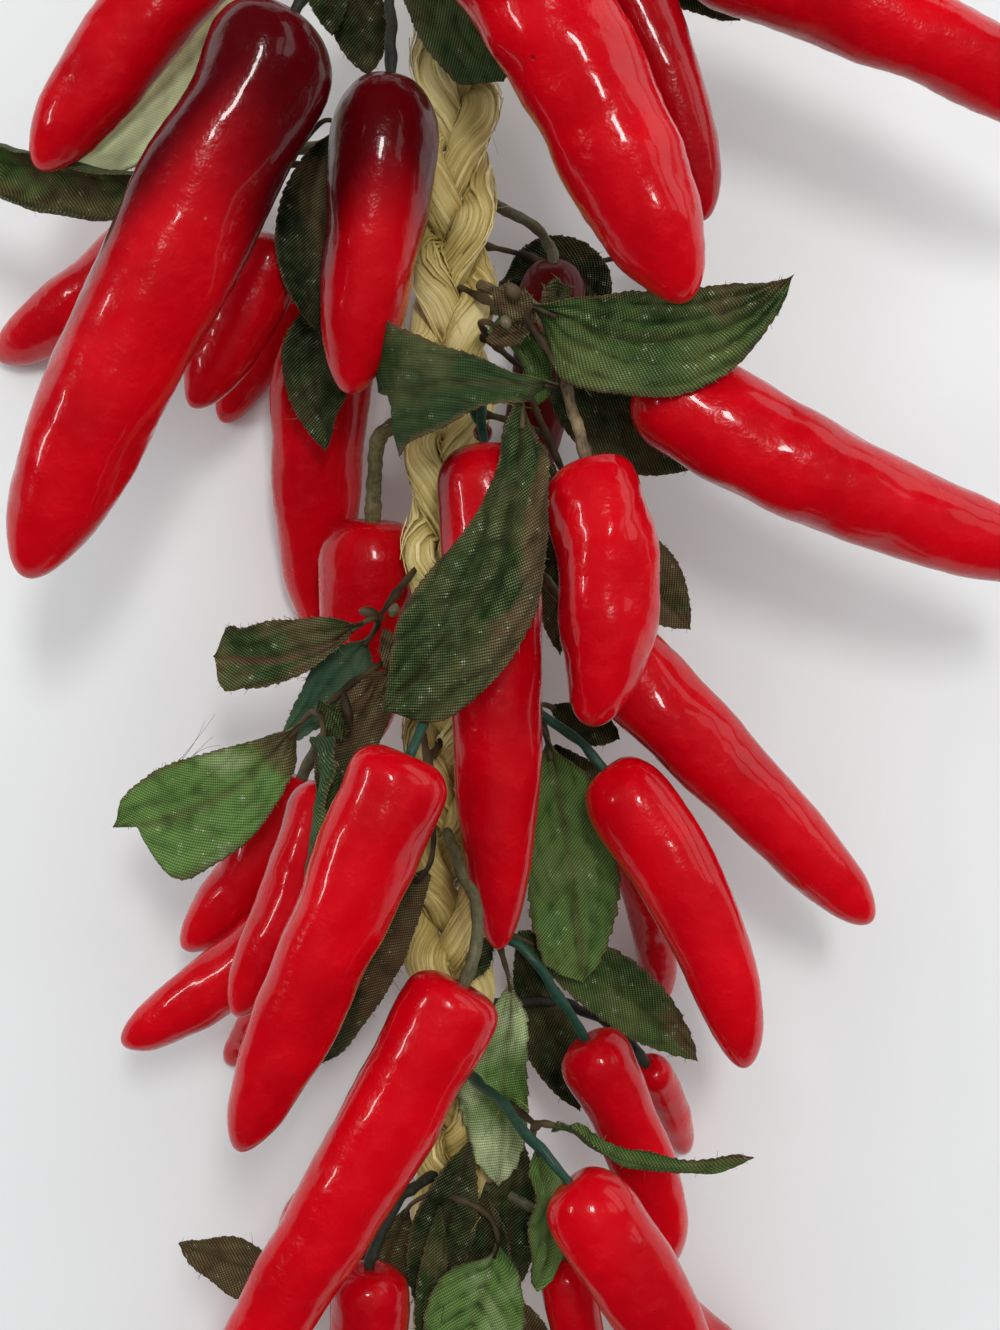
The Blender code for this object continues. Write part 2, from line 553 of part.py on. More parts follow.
def settle(pieces, rounds):
    """Eases the pieces apart, mostly along each one's line of sight."""
    owner = []
    node_a = []
    node_b = []
    weight = []
    radius = []
    kind = []
    marks = []
    start = 0
    offsets = []
    for number, piece in enumerate(pieces):
        rows = piece.particles()
        offsets.append((start, len(rows)))
        marks.append([row[5] for row in rows])
        for a, b, w, r, k, mark in rows:
            owner.append(number)
            node_a.append(number * 6 + a)
            node_b.append(number * 6 + b)
            weight.append(w)
            radius.append(r)
            kind.append(k)
        start += len(rows)
    still, still_radius = fixed_balls()
    moving = start
    owner = np.array(owner + [-1] * len(still))
    radius = np.concatenate([radius, still_radius])
    kind = np.array(kind + [3] * len(still))
    node_a = np.array(node_a)
    node_b = np.array(node_b)
    weight = np.array(weight)
    free = np.array([pieces[o].free for o in owner[:moving]])
    wire = kind[:moving] == 1
    free[wire] = 1.0
    eye = vec(0, 0, EYE_HEIGHT)
    pairs = None
    share = np.maximum((1 - weight) ** 2 + weight ** 2, 0.3)
    for turn in range(rounds):
        where = np.zeros((len(owner), 3))
        for (low, count), piece, mark in zip(offsets, pieces, marks):
            where[low:low + count] = piece.positions(mark)
        where[moving:] = still
        if turn % 8 == 0:
            pairs = near_pairs(where, radius, owner, moving)
        a, b = pairs
        gap = where[a] - where[b]
        dist = np.linalg.norm(gap, axis=1)
        need = reach_of(radius[a], radius[b], kind[a], kind[b])
        over = need - dist
        hit = over > 0
        a = a[hit]
        b = b[hit]
        over = over[hit]
        way = gap[hit] / np.maximum(dist[hit], 1e-6)[:, None]
        sight = unit(eye - where)
        move = np.zeros((moving, 3))
        count = np.zeros(moving)

        def give(rows, direction):
            mobile = rows < moving
            look = sight[rows]
            f = np.where(mobile, free[np.minimum(rows, moving - 1)], 0.0)[:, None]
            dot = np.sum(direction * look, axis=1, keepdims=True)
            along = look * dot
            result = along + f * (direction - along)
            return np.where(mobile[:, None], result, 0.0)

        go_a = give(a, way)
        go_b = give(b, way)
        total = np.sum((go_a + go_b) * way, axis=1)
        scale = (over / np.maximum(total, 0.12))[:, None]
        for rows, go, sign in ((a, go_a, 1.0), (b, go_b, -1.0)):
            ok = rows < moving
            np.add.at(move, rows[ok], (sign * scale * go)[ok])
            np.add.at(count, rows[ok], 1.0)
        low = radius[:moving] - where[:moving, 2]
        sunk = low > 0
        move[sunk, 2] += low[sunk]
        count[sunk] += 1
        touched = count > 0
        move[touched] /= count[touched][:, None] ** 0.7
        limit = np.linalg.norm(move, axis=1, keepdims=True)
        move *= np.minimum(1.0, 2.5 / np.maximum(limit, 1e-9))
        shift = np.zeros((len(pieces) * 6, 3))
        load = np.zeros(len(pieces) * 6)
        for nodes, w in ((node_a, 1 - weight), (node_b, weight)):
            np.add.at(shift, nodes[touched], (move * (w / share)[:, None])[touched])
            np.add.at(load, nodes[touched], w[touched])
        shift /= np.maximum(load, 1.0)[:, None]
        for number, piece in enumerate(pieces):
            part = shift[number * 6:number * 6 + piece.nodes]
            piece.shift += part
            height = piece.shift[1, 2]
            piece.shift *= 0.997
            if piece.rests:
                piece.shift[1, 2] = height - 0.2
            piece.relax()
    return float(over.max()) if len(over) else 0.0


def reach_of(ra, rb, ka, kb):
    """Least distance between two balls of the given kinds."""
    leafy = (ka == 2) & (kb == 2)
    wires = ((ka == 1) & (kb == 2)) | ((ka == 2) & (kb == 1))
    need = ra + rb + GAP
    need = np.where(leafy, 4.2, need)
    need = np.where(wires, 3.8, need)
    return need


def near_pairs(where, radius, owner, moving):
    """Pairs of balls of different pieces that may come to touch."""
    point = where.astype(np.float32)
    square = np.sum(point ** 2, axis=1)
    firsts = []
    seconds = []
    for low in range(0, moving, 400):
        high = min(low + 400, moving)
        dist = square[low:high, None] + square[None, :] - 2 * point[low:high] @ point.T
        reach = radius[low:high, None] + radius[None, :] + 7.0
        rows, cols = np.where(dist < reach ** 2)
        rows = rows + low
        ok = (cols > rows) & (owner[rows] != owner[cols])
        firsts.append(rows[ok])
        seconds.append(cols[ok])
    return np.concatenate(firsts), np.concatenate(seconds)


# ---- loop and ties ----

def tie_line(y):
    """Flattened ring round the three strands and the loop's legs."""
    axis = braid_axis([y])[0]
    angle = 2 * math.pi * np.arange(18) / 18
    cos = np.cos(angle)
    sin = np.sin(angle)
    x = TIE_HALF_WIDTH * np.sign(cos) * np.abs(cos) ** 0.75
    z = TIE_HALF_DEPTH * np.sign(sin) * np.abs(sin) ** 0.75
    return axis + np.stack([x, 0 * x, z], axis=1)


def loop_line(count):
    """Path of the hanging loop: up one side, round, and down the other."""
    axis = braid_axis([BRAID_TOP])[0]
    t = np.linspace(-1, 1, count)
    bend = np.clip(np.abs(t) / 0.62, 0, 1) * math.pi / 2
    x = np.sign(t) * LOOP_HALF_WIDTH * np.sin(bend)
    top = LOOP_HEIGHT - 12.0
    y = np.where(np.abs(t) < 0.62, top + 12.0 * np.cos(bend),
                 top - (np.abs(t) - 0.62) / 0.38 * (top + LOOP_LEG))
    return axis + np.stack([x, y, 0 * t], axis=1)


def torus_mesh(line, normal, radius, sides):
    """Closed ring solid along a flat loop of points."""
    count = len(line)
    along = unit(np.roll(line, -1, axis=0) - np.roll(line, 1, axis=0))
    side = np.cross(along, normal)
    angle = 2 * math.pi * np.arange(sides) / sides
    verts = (line[:, None, :]
             + radius * np.cos(angle)[None, :, None] * side[:, None, :]
             + radius * np.sin(angle)[None, :, None] * normal[None, None, :])
    faces = []
    for i in range(count):
        for k in range(sides):
            j = (i + 1) % count
            m = (k + 1) % sides
            faces.append((i * sides + k, j * sides + k, j * sides + m, i * sides + m))
    return verts.reshape(-1, 3), faces


# ---- meshes ----

def ring_mesh(start, rings, end):
    """Closed solid: a pole, rings of equal count, and a pole."""
    sides = len(rings[0])
    verts = [start]
    for ring in rings:
        verts.extend(ring)
    verts.append(end)
    faces = []
    last = len(verts) - 1
    for k in range(sides):
        m = (k + 1) % sides
        faces.append((0, 1 + m, 1 + k))
        base = 1 + (len(rings) - 1) * sides
        faces.append((last, base + k, base + m))
    for i in range(len(rings) - 1):
        for k in range(sides):
            m = (k + 1) % sides
            a = 1 + i * sides
            b = a + sides
            faces.append((a + k, a + m, b + m, b + k))
    return np.array(verts), faces


def make_material(name, colour, roughness):
    material = bpy.data.materials.new(name)
    material.use_nodes = True
    shader = material.node_tree.nodes["Principled BSDF"]
    shader.inputs["Base Color"].default_value = (*colour, 1.0)
    shader.inputs["Roughness"].default_value = roughness
    return material


def signed_volume(verts, faces):
    """Volume of a closed mesh: positive when its faces look outward."""
    total = 0.0
    for face in faces:
        for k in range(1, len(face) - 1):
            a, b, c = verts[face[0]], verts[face[k]], verts[face[k + 1]]
            total += float(np.dot(a, np.cross(b, c)))
    return total / 6.0


def add_object(name, verts, faces, material, round_shade=True):
    """Makes a named object from millimetre points."""
    if signed_volume(verts, faces) < 0:
        faces = [tuple(reversed(face)) for face in faces]
    mesh = bpy.data.meshes.new(name)
    mesh.from_pydata([tuple(v * MM) for v in verts], [], faces)
    mesh.materials.append(material)
    mesh.shade_smooth() if round_shade else mesh.shade_flat()
    obj = bpy.data.objects.new(name, mesh)
    bpy.context.scene.collection.objects.link(obj)
    return obj


def main():
    for obj in list(bpy.data.objects):
        bpy.data.objects.remove(obj)
    pieces = [Chilli(name, row) for name, row in CHILLIES.items()]
    pieces += [Spray(name, letters) for name, letters in SPRAYS.items()]
    left_over = settle(pieces, 320)
    print("largest remaining overlap of balls, mm:", round(left_over, 3))
    shapes = []
    for piece in pieces:
        start, rings, end = piece.rings()
        shapes.append((piece.name, *ring_mesh(start, rings, end)))
    for index, letter in enumerate("abc"):
        line, wide, rings = strand_rings(index)
        tip = line[0] - vec(0, 1.0, 0)
        top = line[-1] + vec(0, 1.0, 0)
        shapes.append(("strand_" + letter, *ring_mesh(tip, list(rings), top)))
    for name, y in (("tie_top", BRAID_TOP), ("tie_foot", BRAID_FOOT)):
        shapes.append((name, *torus_mesh(tie_line(y), vec(0, 1, 0), TIE_RADIUS, 6)))
    loop = loop_line(25)
    run = tangents(loop)
    rings = []
    for middle, along in zip(loop, run):
        side = np.cross(along, vec(0, 0, 1))
        angle = 2 * math.pi * np.arange(6) / 6
        rings.append(middle + LOOP_RADIUS * (np.cos(angle)[:, None] * side
                                             + np.sin(angle)[:, None] * vec(0, 0, 1)))
    shapes.append(("hanging_loop", *ring_mesh(loop[0], rings, loop[-1])))
    lows = sorted(verts[:, 2].min() for name, verts, faces in shapes)
    ground = lows[RESTING - 1] + FLAT
    everything = np.vstack([verts for name, verts, faces in shapes])
    low = everything.min(axis=0)
    high = everything.max(axis=0)
    middle = vec((low[0] + high[0]) / 2, (low[1] + high[1]) / 2, ground)
    materials = {
        "chilli": make_material("red_lacquer", (0.55, 0.005, 0.012), 0.18),
        "spray": make_material("leaf_cloth", (0.035, 0.10, 0.02), 0.65),
        "strand": make_material("raffia", (0.55, 0.42, 0.20), 0.6),
        "tie": make_material("raffia_tie", (0.50, 0.38, 0.18), 0.6),
        "hanging": make_material("raffia_cord", (0.52, 0.40, 0.19), 0.6),
    }
    for name, verts, faces in shapes:
        verts = verts - middle
        verts[:, 2] = np.maximum(verts[:, 2], 0.0)
        add_object(name, verts, faces, materials[name.split("_")[0]])
    resting = sum(1 for name, verts, faces in shapes
                  if (verts - middle)[:, 2].min() < 0.001)
    print("pieces:", len(shapes), "resting on the ground:", resting)
    print("middle of the frame, mm:", [round(float(v), 2) for v in middle])


main()
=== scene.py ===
import math

import bpy
import numpy as np
from mathutils import Matrix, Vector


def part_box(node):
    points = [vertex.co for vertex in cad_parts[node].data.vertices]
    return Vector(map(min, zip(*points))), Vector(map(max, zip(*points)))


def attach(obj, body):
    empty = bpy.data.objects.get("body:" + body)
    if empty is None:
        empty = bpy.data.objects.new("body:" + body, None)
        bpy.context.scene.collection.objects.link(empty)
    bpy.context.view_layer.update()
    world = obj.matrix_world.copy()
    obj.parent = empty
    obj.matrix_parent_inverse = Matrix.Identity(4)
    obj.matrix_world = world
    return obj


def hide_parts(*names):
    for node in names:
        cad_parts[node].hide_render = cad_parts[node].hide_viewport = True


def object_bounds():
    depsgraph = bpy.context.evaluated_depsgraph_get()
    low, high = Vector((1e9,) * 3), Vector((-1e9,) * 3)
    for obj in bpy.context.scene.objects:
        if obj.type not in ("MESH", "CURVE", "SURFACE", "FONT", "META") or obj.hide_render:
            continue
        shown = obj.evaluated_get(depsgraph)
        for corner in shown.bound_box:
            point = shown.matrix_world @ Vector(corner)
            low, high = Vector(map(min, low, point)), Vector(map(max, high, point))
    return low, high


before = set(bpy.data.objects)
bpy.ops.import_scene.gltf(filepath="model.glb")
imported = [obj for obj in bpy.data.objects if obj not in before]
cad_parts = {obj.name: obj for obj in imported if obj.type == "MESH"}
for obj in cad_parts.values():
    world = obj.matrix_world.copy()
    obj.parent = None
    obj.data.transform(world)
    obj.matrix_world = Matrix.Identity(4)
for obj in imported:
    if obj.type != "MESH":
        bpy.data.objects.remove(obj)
cadLow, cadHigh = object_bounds()
mm = 0.001
print("frame loaded:", len(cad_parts), "nodes")


# small helpers, all on whole arrays

def unit(v):  # each vector over its length
    return v / np.maximum(np.linalg.norm(v, axis=-1, keepdims=True), 1e-12)


def ease(t):  # 3 t^2 - 2 t^3, from 0 to 1
    t = np.clip(t, 0.0, 1.0)
    return t * t * (3 - 2 * t)


def bell(x, wide):  # exp(-(x / wide)^2)
    return np.exp(-(x / wide) ** 2)


def angles(count):  # even steps of one full turn
    return 2 * math.pi * np.arange(count) / count


def through(knots, values, where):  # cubic pieces through the values, slopes from their neighbours
    knots, values, where = (np.asarray(a, float) for a in (knots, values, where))
    slopes = np.gradient(values, knots, axis=0)
    k = np.clip(np.searchsorted(knots, where, side="right") - 1, 0, len(knots) - 2)
    gap = knots[k + 1] - knots[k]
    t = np.clip((where - knots[k]) / gap, 0, 1)
    if values.ndim > 1:
        t, gap = t[..., None], gap[..., None]
    return ((2 * t ** 3 - 3 * t ** 2 + 1) * values[k] + (t ** 3 - 2 * t ** 2 + t) * gap * slopes[k]
            + (3 * t ** 2 - 2 * t ** 3) * values[k + 1] + (t ** 3 - t ** 2) * gap * slopes[k + 1])


def travel(line):  # running length along a line of points
    return np.concatenate([[0.0], np.cumsum(np.linalg.norm(np.diff(line, axis=0), axis=1))])


def resample(line, count):  # even points on a smooth curve through the line
    far = travel(line)
    return through(far, line, np.linspace(0, 1, count) * far[-1])


def wander(place, size, seed, waves=8):  # sum of sines of the place along seeded directions, about one wave per size
    r = np.random.default_rng(seed)
    way = unit(r.normal(size=(waves, 3))) * (2 * math.pi / size) * r.uniform(0.6, 1.5, (waves, 1))
    return np.sin(place @ way.T + r.uniform(0, 2 * math.pi, waves)).sum(-1) / math.sqrt(waves)


def squareTo(run, way):  # the part of a direction that is square to the run
    return unit(way - run * np.sum(way * run, 1, keepdims=True))


def levelOf(line):  # the direction that a line's run is nearest to square to
    run = unit(np.gradient(line, axis=0))
    return np.linalg.eigh(run.T @ run)[1][:, 0]


def framesOf(line, level=None):  # run, side and up of a line; side is square to the run and to a fixed direction
    run = unit(np.gradient(line, axis=0))
    side = unit(np.cross(run, levelOf(line) if level is None else level))
    return run, side, np.cross(side, run)


def tubesAround(lines, side, up, broad, deep, around):  # line + broad cos a side + deep sin a up
    a = angles(around)[:, None]
    return lines[:, :, None] + side[:, :, None] * (broad * np.cos(a)) + up[:, :, None] * (deep * np.sin(a))


def tubeAround(line, radius, around, level=None):  # a round tube with one radius in each ring or point
    run, side, up = framesOf(line, level)
    radius = np.asarray(radius, float).reshape(len(line), -1, 1)
    return tubesAround(line[None], side[None], up[None], radius, radius, around)[0]


# a shell is one or many closed tubes of the same grid: (count, rows, columns, 3), with a pole at each end;
# looped joins the last row to the first instead; marks are values for the materials: one in all, per tube or a grid

def shell(grid, start=None, end=None, u=None, finish=0, looped=False, **marks):
    grid = grid[None] if grid.ndim == 3 else grid
    count, rows, cols = grid.shape[:3]
    start = grid[:, 0].mean(1) if start is None else np.broadcast_to(start, (count, 3))
    end = grid[:, -1].mean(1) if end is None else np.broadcast_to(end, (count, 3))
    points = grid.reshape(count, -1, 3)
    i, j = np.arange(rows if looped else rows - 1)[:, None], np.arange(cols)[None, :]
    quads = np.stack([i * cols + j, i * cols + (j + 1) % cols,
                      (i + 1) % rows * cols + (j + 1) % cols, (i + 1) % rows * cols + j], -1).reshape(-1, 4)
    u = np.broadcast_to(np.linspace(0, 1, rows + looped) if u is None else u, (count, rows + looped))
    v = np.linspace(0, 1, cols + 1)
    quadU = np.stack([u[:, i + k + 0 * j] for k in (0, 0, 1, 1)], -1)
    quadV = np.broadcast_to(np.stack([v[j + k + 0 * i] for k in (0, 1, 1, 0)], -1), quadU.shape)
    corners, uvs, sizes = [quads], [np.stack([quadU, quadV], -1).reshape(count, -1, 2)], [np.full(len(quads), 4)]
    if not looped:
        points = np.concatenate([points, start[:, None], end[:, None]], 1)
        j, last = j[0], (rows - 1) * cols
        fans = np.concatenate([np.stack([0 * j + rows * cols, (j + 1) % cols, j], -1),
                               np.stack([0 * j + rows * cols + 1, last + j, last + (j + 1) % cols], -1)])
        half = (v[:-1] + v[1:]) / 2
        fanV = np.concatenate([np.stack([half, v[1:], v[:-1]], -1), np.stack([half, v[:-1], v[1:]], -1)])
        fanU = np.repeat(u[:, [0, -1]], cols, axis=1)[..., None] + np.zeros(3)
        corners.append(fans)
        uvs.append(np.stack([fanU, np.broadcast_to(fanV, fanU.shape)], -1).reshape(count, -1, 2))
        sizes.append(np.full(len(fans), 3))
    flat, sizes, uvs = np.concatenate([c.ravel() for c in corners]), np.concatenate(sizes), np.concatenate(uvs, 1)
    tri = np.concatenate([quads[:, [0, 1, 2]], quads[:, [0, 2, 3]]] + corners[1:])
    a, b, c = (points[:, tri[:, k]] - points.mean(1, keepdims=True) for k in range(3))
    inward = np.sum(a * np.cross(b, c), (1, 2)) < 0
    begin = np.concatenate([[0], np.cumsum(sizes)[:-1]])
    turned = np.repeat(2 * begin + sizes - 1, sizes) - np.arange(len(flat))  # the same corners the other way round
    loops = np.where(inward[:, None], flat[turned], flat) + (np.arange(count) * points.shape[1])[:, None]
    uvs = np.where(inward[:, None, None], uvs[:, turned], uvs)
    kept = {}
    for key, value in marks.items():
        value = np.asarray(value, float)
        value = value[:, None, None] if value.ndim == 1 else value
        value = np.broadcast_to(value, (count, rows, cols)).reshape(count, -1)
        kept[key] = (value if looped else np.concatenate([value, value[:, :1], value[:, -1:]], 1)).ravel()
    return {"points": points.reshape(-1, 3), "loops": loops.ravel(), "sizes": np.tile(sizes, count),
            "uvs": uvs.reshape(-1, 2), "finish": np.full(len(sizes) * count, finish), "marks": kept}


def addPiece(name, shells, finishes, nodes):  # joins shells into one mesh that rides on the root body
    points, sizes, which, uvs = (np.concatenate([s[k] for s in shells]) for k in ("points", "sizes", "finish", "uvs"))
    points = np.clip(points, cadLow, cadHigh)
    shift = np.cumsum([0] + [len(s["points"]) for s in shells[:-1]])
    loops = np.concatenate([s["loops"] + k for s, k in zip(shells, shift)])
    mesh = bpy.data.meshes.new(name)
    mesh.vertices.add(len(points))
    mesh.vertices.foreach_set("co", points.astype(np.float32).ravel())
    mesh.loops.add(len(loops))
    mesh.loops.foreach_set("vertex_index", loops.astype(np.int32))
    mesh.polygons.add(len(sizes))
    mesh.polygons.foreach_set("loop_start", np.concatenate([[0], np.cumsum(sizes)[:-1]]).astype(np.int32))
    mesh.polygons.foreach_set("material_index", which.astype(np.int32))
    mesh.polygons.foreach_set("use_smooth", np.ones(len(sizes), bool))
    mesh.uv_layers.new(name="UVMap").data.foreach_set("uv", uvs.astype(np.float32).ravel())
    for key in sorted({k for s in shells for k in s["marks"]}):
        values = np.concatenate([s["marks"].get(key, np.zeros(len(s["points"]))) for s in shells])
        mesh.attributes.new(key, "FLOAT", "POINT").data.foreach_set("value", values.astype(np.float32))
    mesh.update(calc_edges=True)
    mesh.validate()
    for finish in finishes:
        mesh.materials.append(finish)
    piece = bpy.data.objects.new(name, mesh)
    bpy.context.scene.collection.objects.link(piece)
    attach(piece, "root")
    if nodes:
        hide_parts(*nodes)


def ringsOf(name, first=None):  # a CAD tube's rings: its points by how many edges they lie from its tip or first ring
    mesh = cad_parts[name].data
    co = np.empty(len(mesh.vertices) * 3, np.float32)
    mesh.vertices.foreach_get("co", co)
    corner = np.empty(len(mesh.loops), np.int32)
    mesh.loops.foreach_get("vertex_index", corner)
    points, same = np.unique(np.round(co.reshape(-1, 3).astype(float), 6), axis=0, return_inverse=True)
    tri = same.reshape(-1)[corner].reshape(-1, 3)
    near = np.zeros((len(points),) * 2, np.float32)
    near[tri, np.roll(tri, 1, axis=1)] = near[np.roll(tri, 1, axis=1), tri] = 1
    reached = np.eye(len(points), dtype=bool)
    if first is not None:
        reached = reached[first(points)].any(0)[None]
    hops, front, step = np.zeros(reached.shape, int), reached.copy(), 0
    while not reached.all():
        step += 1
        front = (front.astype(np.float32) @ near > 0) & ~reached
        hops[front] = step
        reached |= front
    sizes = np.stack([(hops == k).sum(1) for k in range(step + 1)], 1)
    even = (sizes[:, 1:-1] == sizes[:, 1:2]).all(1) & ((sizes[:, -1] == 1) | (sizes[:, -1] == sizes[:, 1]))
    mine = hops[0 if first is not None else np.flatnonzero(even)[0]]
    return [points[mine == k] for k in range(step + 1)]


def middles(rings):  # middle point of each ring
    return np.array([r.mean(0) for r in rings])


def girths(rings):  # widest distance of each ring's points from its middle
    return np.array([np.linalg.norm(r - r.mean(0), axis=1).max() for r in rings])


# materials: node groups first, each puts out only colours, masks and heights

class Wiring:  # makes nodes in one tree; each call gives back the new node's output
    def __init__(self, tree):
        self.tree = tree

    def feed(self, socket, value):  # a number, a colour or the output of another node
        if isinstance(value, (int, float)):
            socket.default_value = value
        elif isinstance(value, tuple):
            socket.default_value = (*value, 1)
        else:
            self.tree.links.new(value, socket)

    def node(self, kind, feeds, **settings):
        node = self.tree.nodes.new("ShaderNode" + kind)
        for key, value in settings.items():
            setattr(node, key, value)
        for key, value in feeds.items():
            self.feed(node.inputs[key], value)
        return node.outputs

    def math(self, operation, a, b=0.0):
        return self.node("Math", {0: a, 1: b}, operation=operation)[0]

    def plus(self, a, b):
        return self.math("ADD", a, b)

    def minus(self, a, b):
        return self.math("SUBTRACT", a, b)

    def times(self, a, b):
        return self.math("MULTIPLY", a, b)

    def most(self, a, b):
        return self.math("MAXIMUM", a, b)

    def layers(self, colour, *coats):  # each coat is an amount and the colour that it lays over the last
        for amount, over in coats:
            colour = self.node("Mix", {0: amount, 6: colour, 7: over}, data_type="RGBA")[2]
        return colour

    def noise(self, place, scale, detail, rough=0.5):
        return self.node("TexNoise", {"Vector": place, "Scale": scale, "Detail": detail, "Roughness": rough})["Fac"]

    def span(self, value, low, high, toLow=0.0, toHigh=1.0):  # low to high becomes toLow to toHigh
        return self.node("MapRange", dict(enumerate((value, low, high, toLow, toHigh))))[0]

    def mark(self, name):
        return self.node("Attribute", {}, attribute_name=name)["Fac"]

    def place(self):
        return self.node("TexCoord", {})["Object"]

    def group(self, group, **feeds):
        return self.node("Group", feeds, node_tree=group)

    def surface(self, shader, colour, rough, height=None, strength=0.0, depth=0.0):  # what changes over a surface
        self.feed(shader.inputs["Base Color"], colour)
        self.feed(shader.inputs["Roughness"], rough)
        if height is not None:
            bump = self.node("Bump", {"Height": height, "Strength": strength, "Distance": depth})
            self.feed(shader.inputs["Normal"], bump["Normal"])


def newGroup(name, inputs, outputs):  # inputs by name with a starting number, or None for a vector
    tree = bpy.data.node_groups.new(name, "ShaderNodeTree")
    for label, value in inputs.items():
        kind = "NodeSocketVector" if value is None else "NodeSocketFloat"
        socket = tree.interface.new_socket(name=label, in_out="INPUT", socket_type=kind)
        if value is not None:
            socket.default_value = value
    for label in outputs:
        tree.interface.new_socket(name=label, in_out="OUTPUT", socket_type="NodeSocketFloat")
    return Wiring(tree), tree.nodes.new("NodeGroupInput").outputs, tree.nodes.new("NodeGroupOutput").inputs


def newFinish(name):  # a material, the maker of its nodes, and its shader
    finish = bpy.data.materials.new(name)
    finish.use_nodes = True
    return finish, Wiring(finish.node_tree), finish.node_tree.nodes["Principled BSDF"]


# camera: looks straight down on the string, which lies on its back

cameraSet = {"place": (-0.0009, -0.00804, 0.44473), "lens": 45.47, "sensor": 36.0, "near": 0.01, "far": 20.0}


def addCamera():
    data = bpy.data.cameras.new("camera")
    data.lens, data.sensor_width = cameraSet["lens"], cameraSet["sensor"]
    data.clip_start, data.clip_end = cameraSet["near"], cameraSet["far"]
    camera = bpy.data.objects.new("camera", data)
    camera.location = cameraSet["place"]
    bpy.context.scene.collection.objects.link(camera)
    bpy.context.scene.camera = camera


# lights: narrow ones that show as highlights, and big soft ones without gloss that only fill

lightSet = {
    "key": {"place": (0.10, 0.26, 0.97), "size": (0.11, 0.19), "watts": 2.9, "tint": (1.0, 0.985, 0.965)},
    "side": {"place": (-0.92, 0.16, 0.64), "size": (0.06, 0.28), "watts": 1.5},
    "soft": {"place": (0.0, 0.10, 1.55), "size": (2.4, 2.0), "watts": 9.2, "gloss": False},
    "window": {"place": (-0.85, 1.15, 1.05), "size": (2.2, 1.9), "watts": 10.0, "tint": (0.98, 0.99, 1.0),
               "gloss": False},
    "right": {"place": (1.25, 0.15, 0.85), "aim": (0.15, 0, 0.0), "size": (1.7, 1.4), "watts": 5.2,
              "tint": (1.0, 0.995, 0.985), "gloss": False},
    "glow": {"place": (0.80, 0.35, 0.75), "aim": (0, 0.05, 0.03), "size": (0.25, 0.35), "watts": 0.35,
             "tint": (1.0, 0.97, 0.95)},
    "edge": {"place": (0.85, 0.60, 0.32), "size": (0.42, 0.95), "watts": 1.9, "tint": (0.98, 0.99, 1.0)},
}
roomLight = {"colour": (0.97, 0.985, 1.0), "strength": 0.29}


def addLights():
    for name, spec in lightSet.items():
        data = bpy.data.lights.new(name, "AREA")
        data.shape, data.size, data.size_y = "RECTANGLE", *spec["size"]
        data.energy, data.color = spec["watts"], spec.get("tint", (1.0, 1.0, 1.0))
        light = bpy.data.objects.new(name, data)
        light.location = spec["place"]
        back = unit(np.array(spec["place"]) - np.array(spec.get("aim", (0, 0, 0.03))))
        side = unit(np.cross((0, 1, 0.001), back))
        light.rotation_mode = "QUATERNION"
        light.rotation_quaternion = Matrix(np.stack([side, np.cross(back, side), back], 1).tolist()).to_quaternion()
        light.visible_glossy = spec.get("gloss", True)
        bpy.context.scene.collection.objects.link(light)
    world = bpy.data.worlds.new("room")
    bpy.context.scene.world = world
    world.use_nodes = True
    background = world.node_tree.nodes["Background"].inputs
    background["Color"].default_value = (*roomLight["colour"], 1)
    background["Strength"].default_value = roomLight["strength"]
    world.cycles_visibility.glossy = False
    bpy.context.scene.view_settings.view_transform = "Standard"


# groups that the materials share

def makeDriftGroup():  # slow change of tone over a surface: soft clouds of two sizes
    w, given, out = newGroup("slowDrift", {"Place": None, "Size": 40.0}, ["Drift", "Fine"])
    w.feed(out["Drift"], w.noise(given["Place"], given["Size"], 2.0))
    w.feed(out["Fine"], w.noise(given["Place"], w.times(given["Size"], 6.0), 3.0))
    return w.tree


def makeSpeckGroup():  # scattered small round specks: near the middle of some cells of a cell pattern
    w, given, out = newGroup("specks", {"Place": None, "Scale": 200.0, "Share": 0.3, "Width": 0.12}, ["Mask"])
    cells = w.node("TexVoronoi", {"Vector": given["Place"], "Scale": given["Scale"]})
    parts = w.node("SeparateColor", {"Color": cells["Color"]})
    width = w.times(given["Width"], w.plus(parts[1], 0.35))
    dot = w.span(cells["Distance"], width, w.times(width, 0.4))
    w.feed(out["Mask"], w.times(dot, w.math("LESS_THAN", parts[0], given["Share"])))
    return w.tree


def fibreStreak(w):  # long streaks: noise of (3 x fibre number, 0.06 x running mm)
    both = w.node("CombineXYZ", {0: w.times(w.mark("fibre"), 3.0), 1: w.times(w.mark("run"), 0.06)})
    return w.noise(both[0], 1.6, 4.0, 0.65)


slowDrift, specks = makeDriftGroup(), makeSpeckGroup()

# the last colour here is painted shade: the dark red that the shade mark lays over chilli heads and sides
lacquerSet = {"red": (0.58, 0.0003, 0.0055), "deep": (0.38, 0.0, 0.0045), "bright": (0.72, 0.0006, 0.008),
              "pit": (0.12, 0.004, 0.003), "scuff": (0.85, 0.35, 0.22), "paintedShade": (0.045, 0.0006, 0.002)}


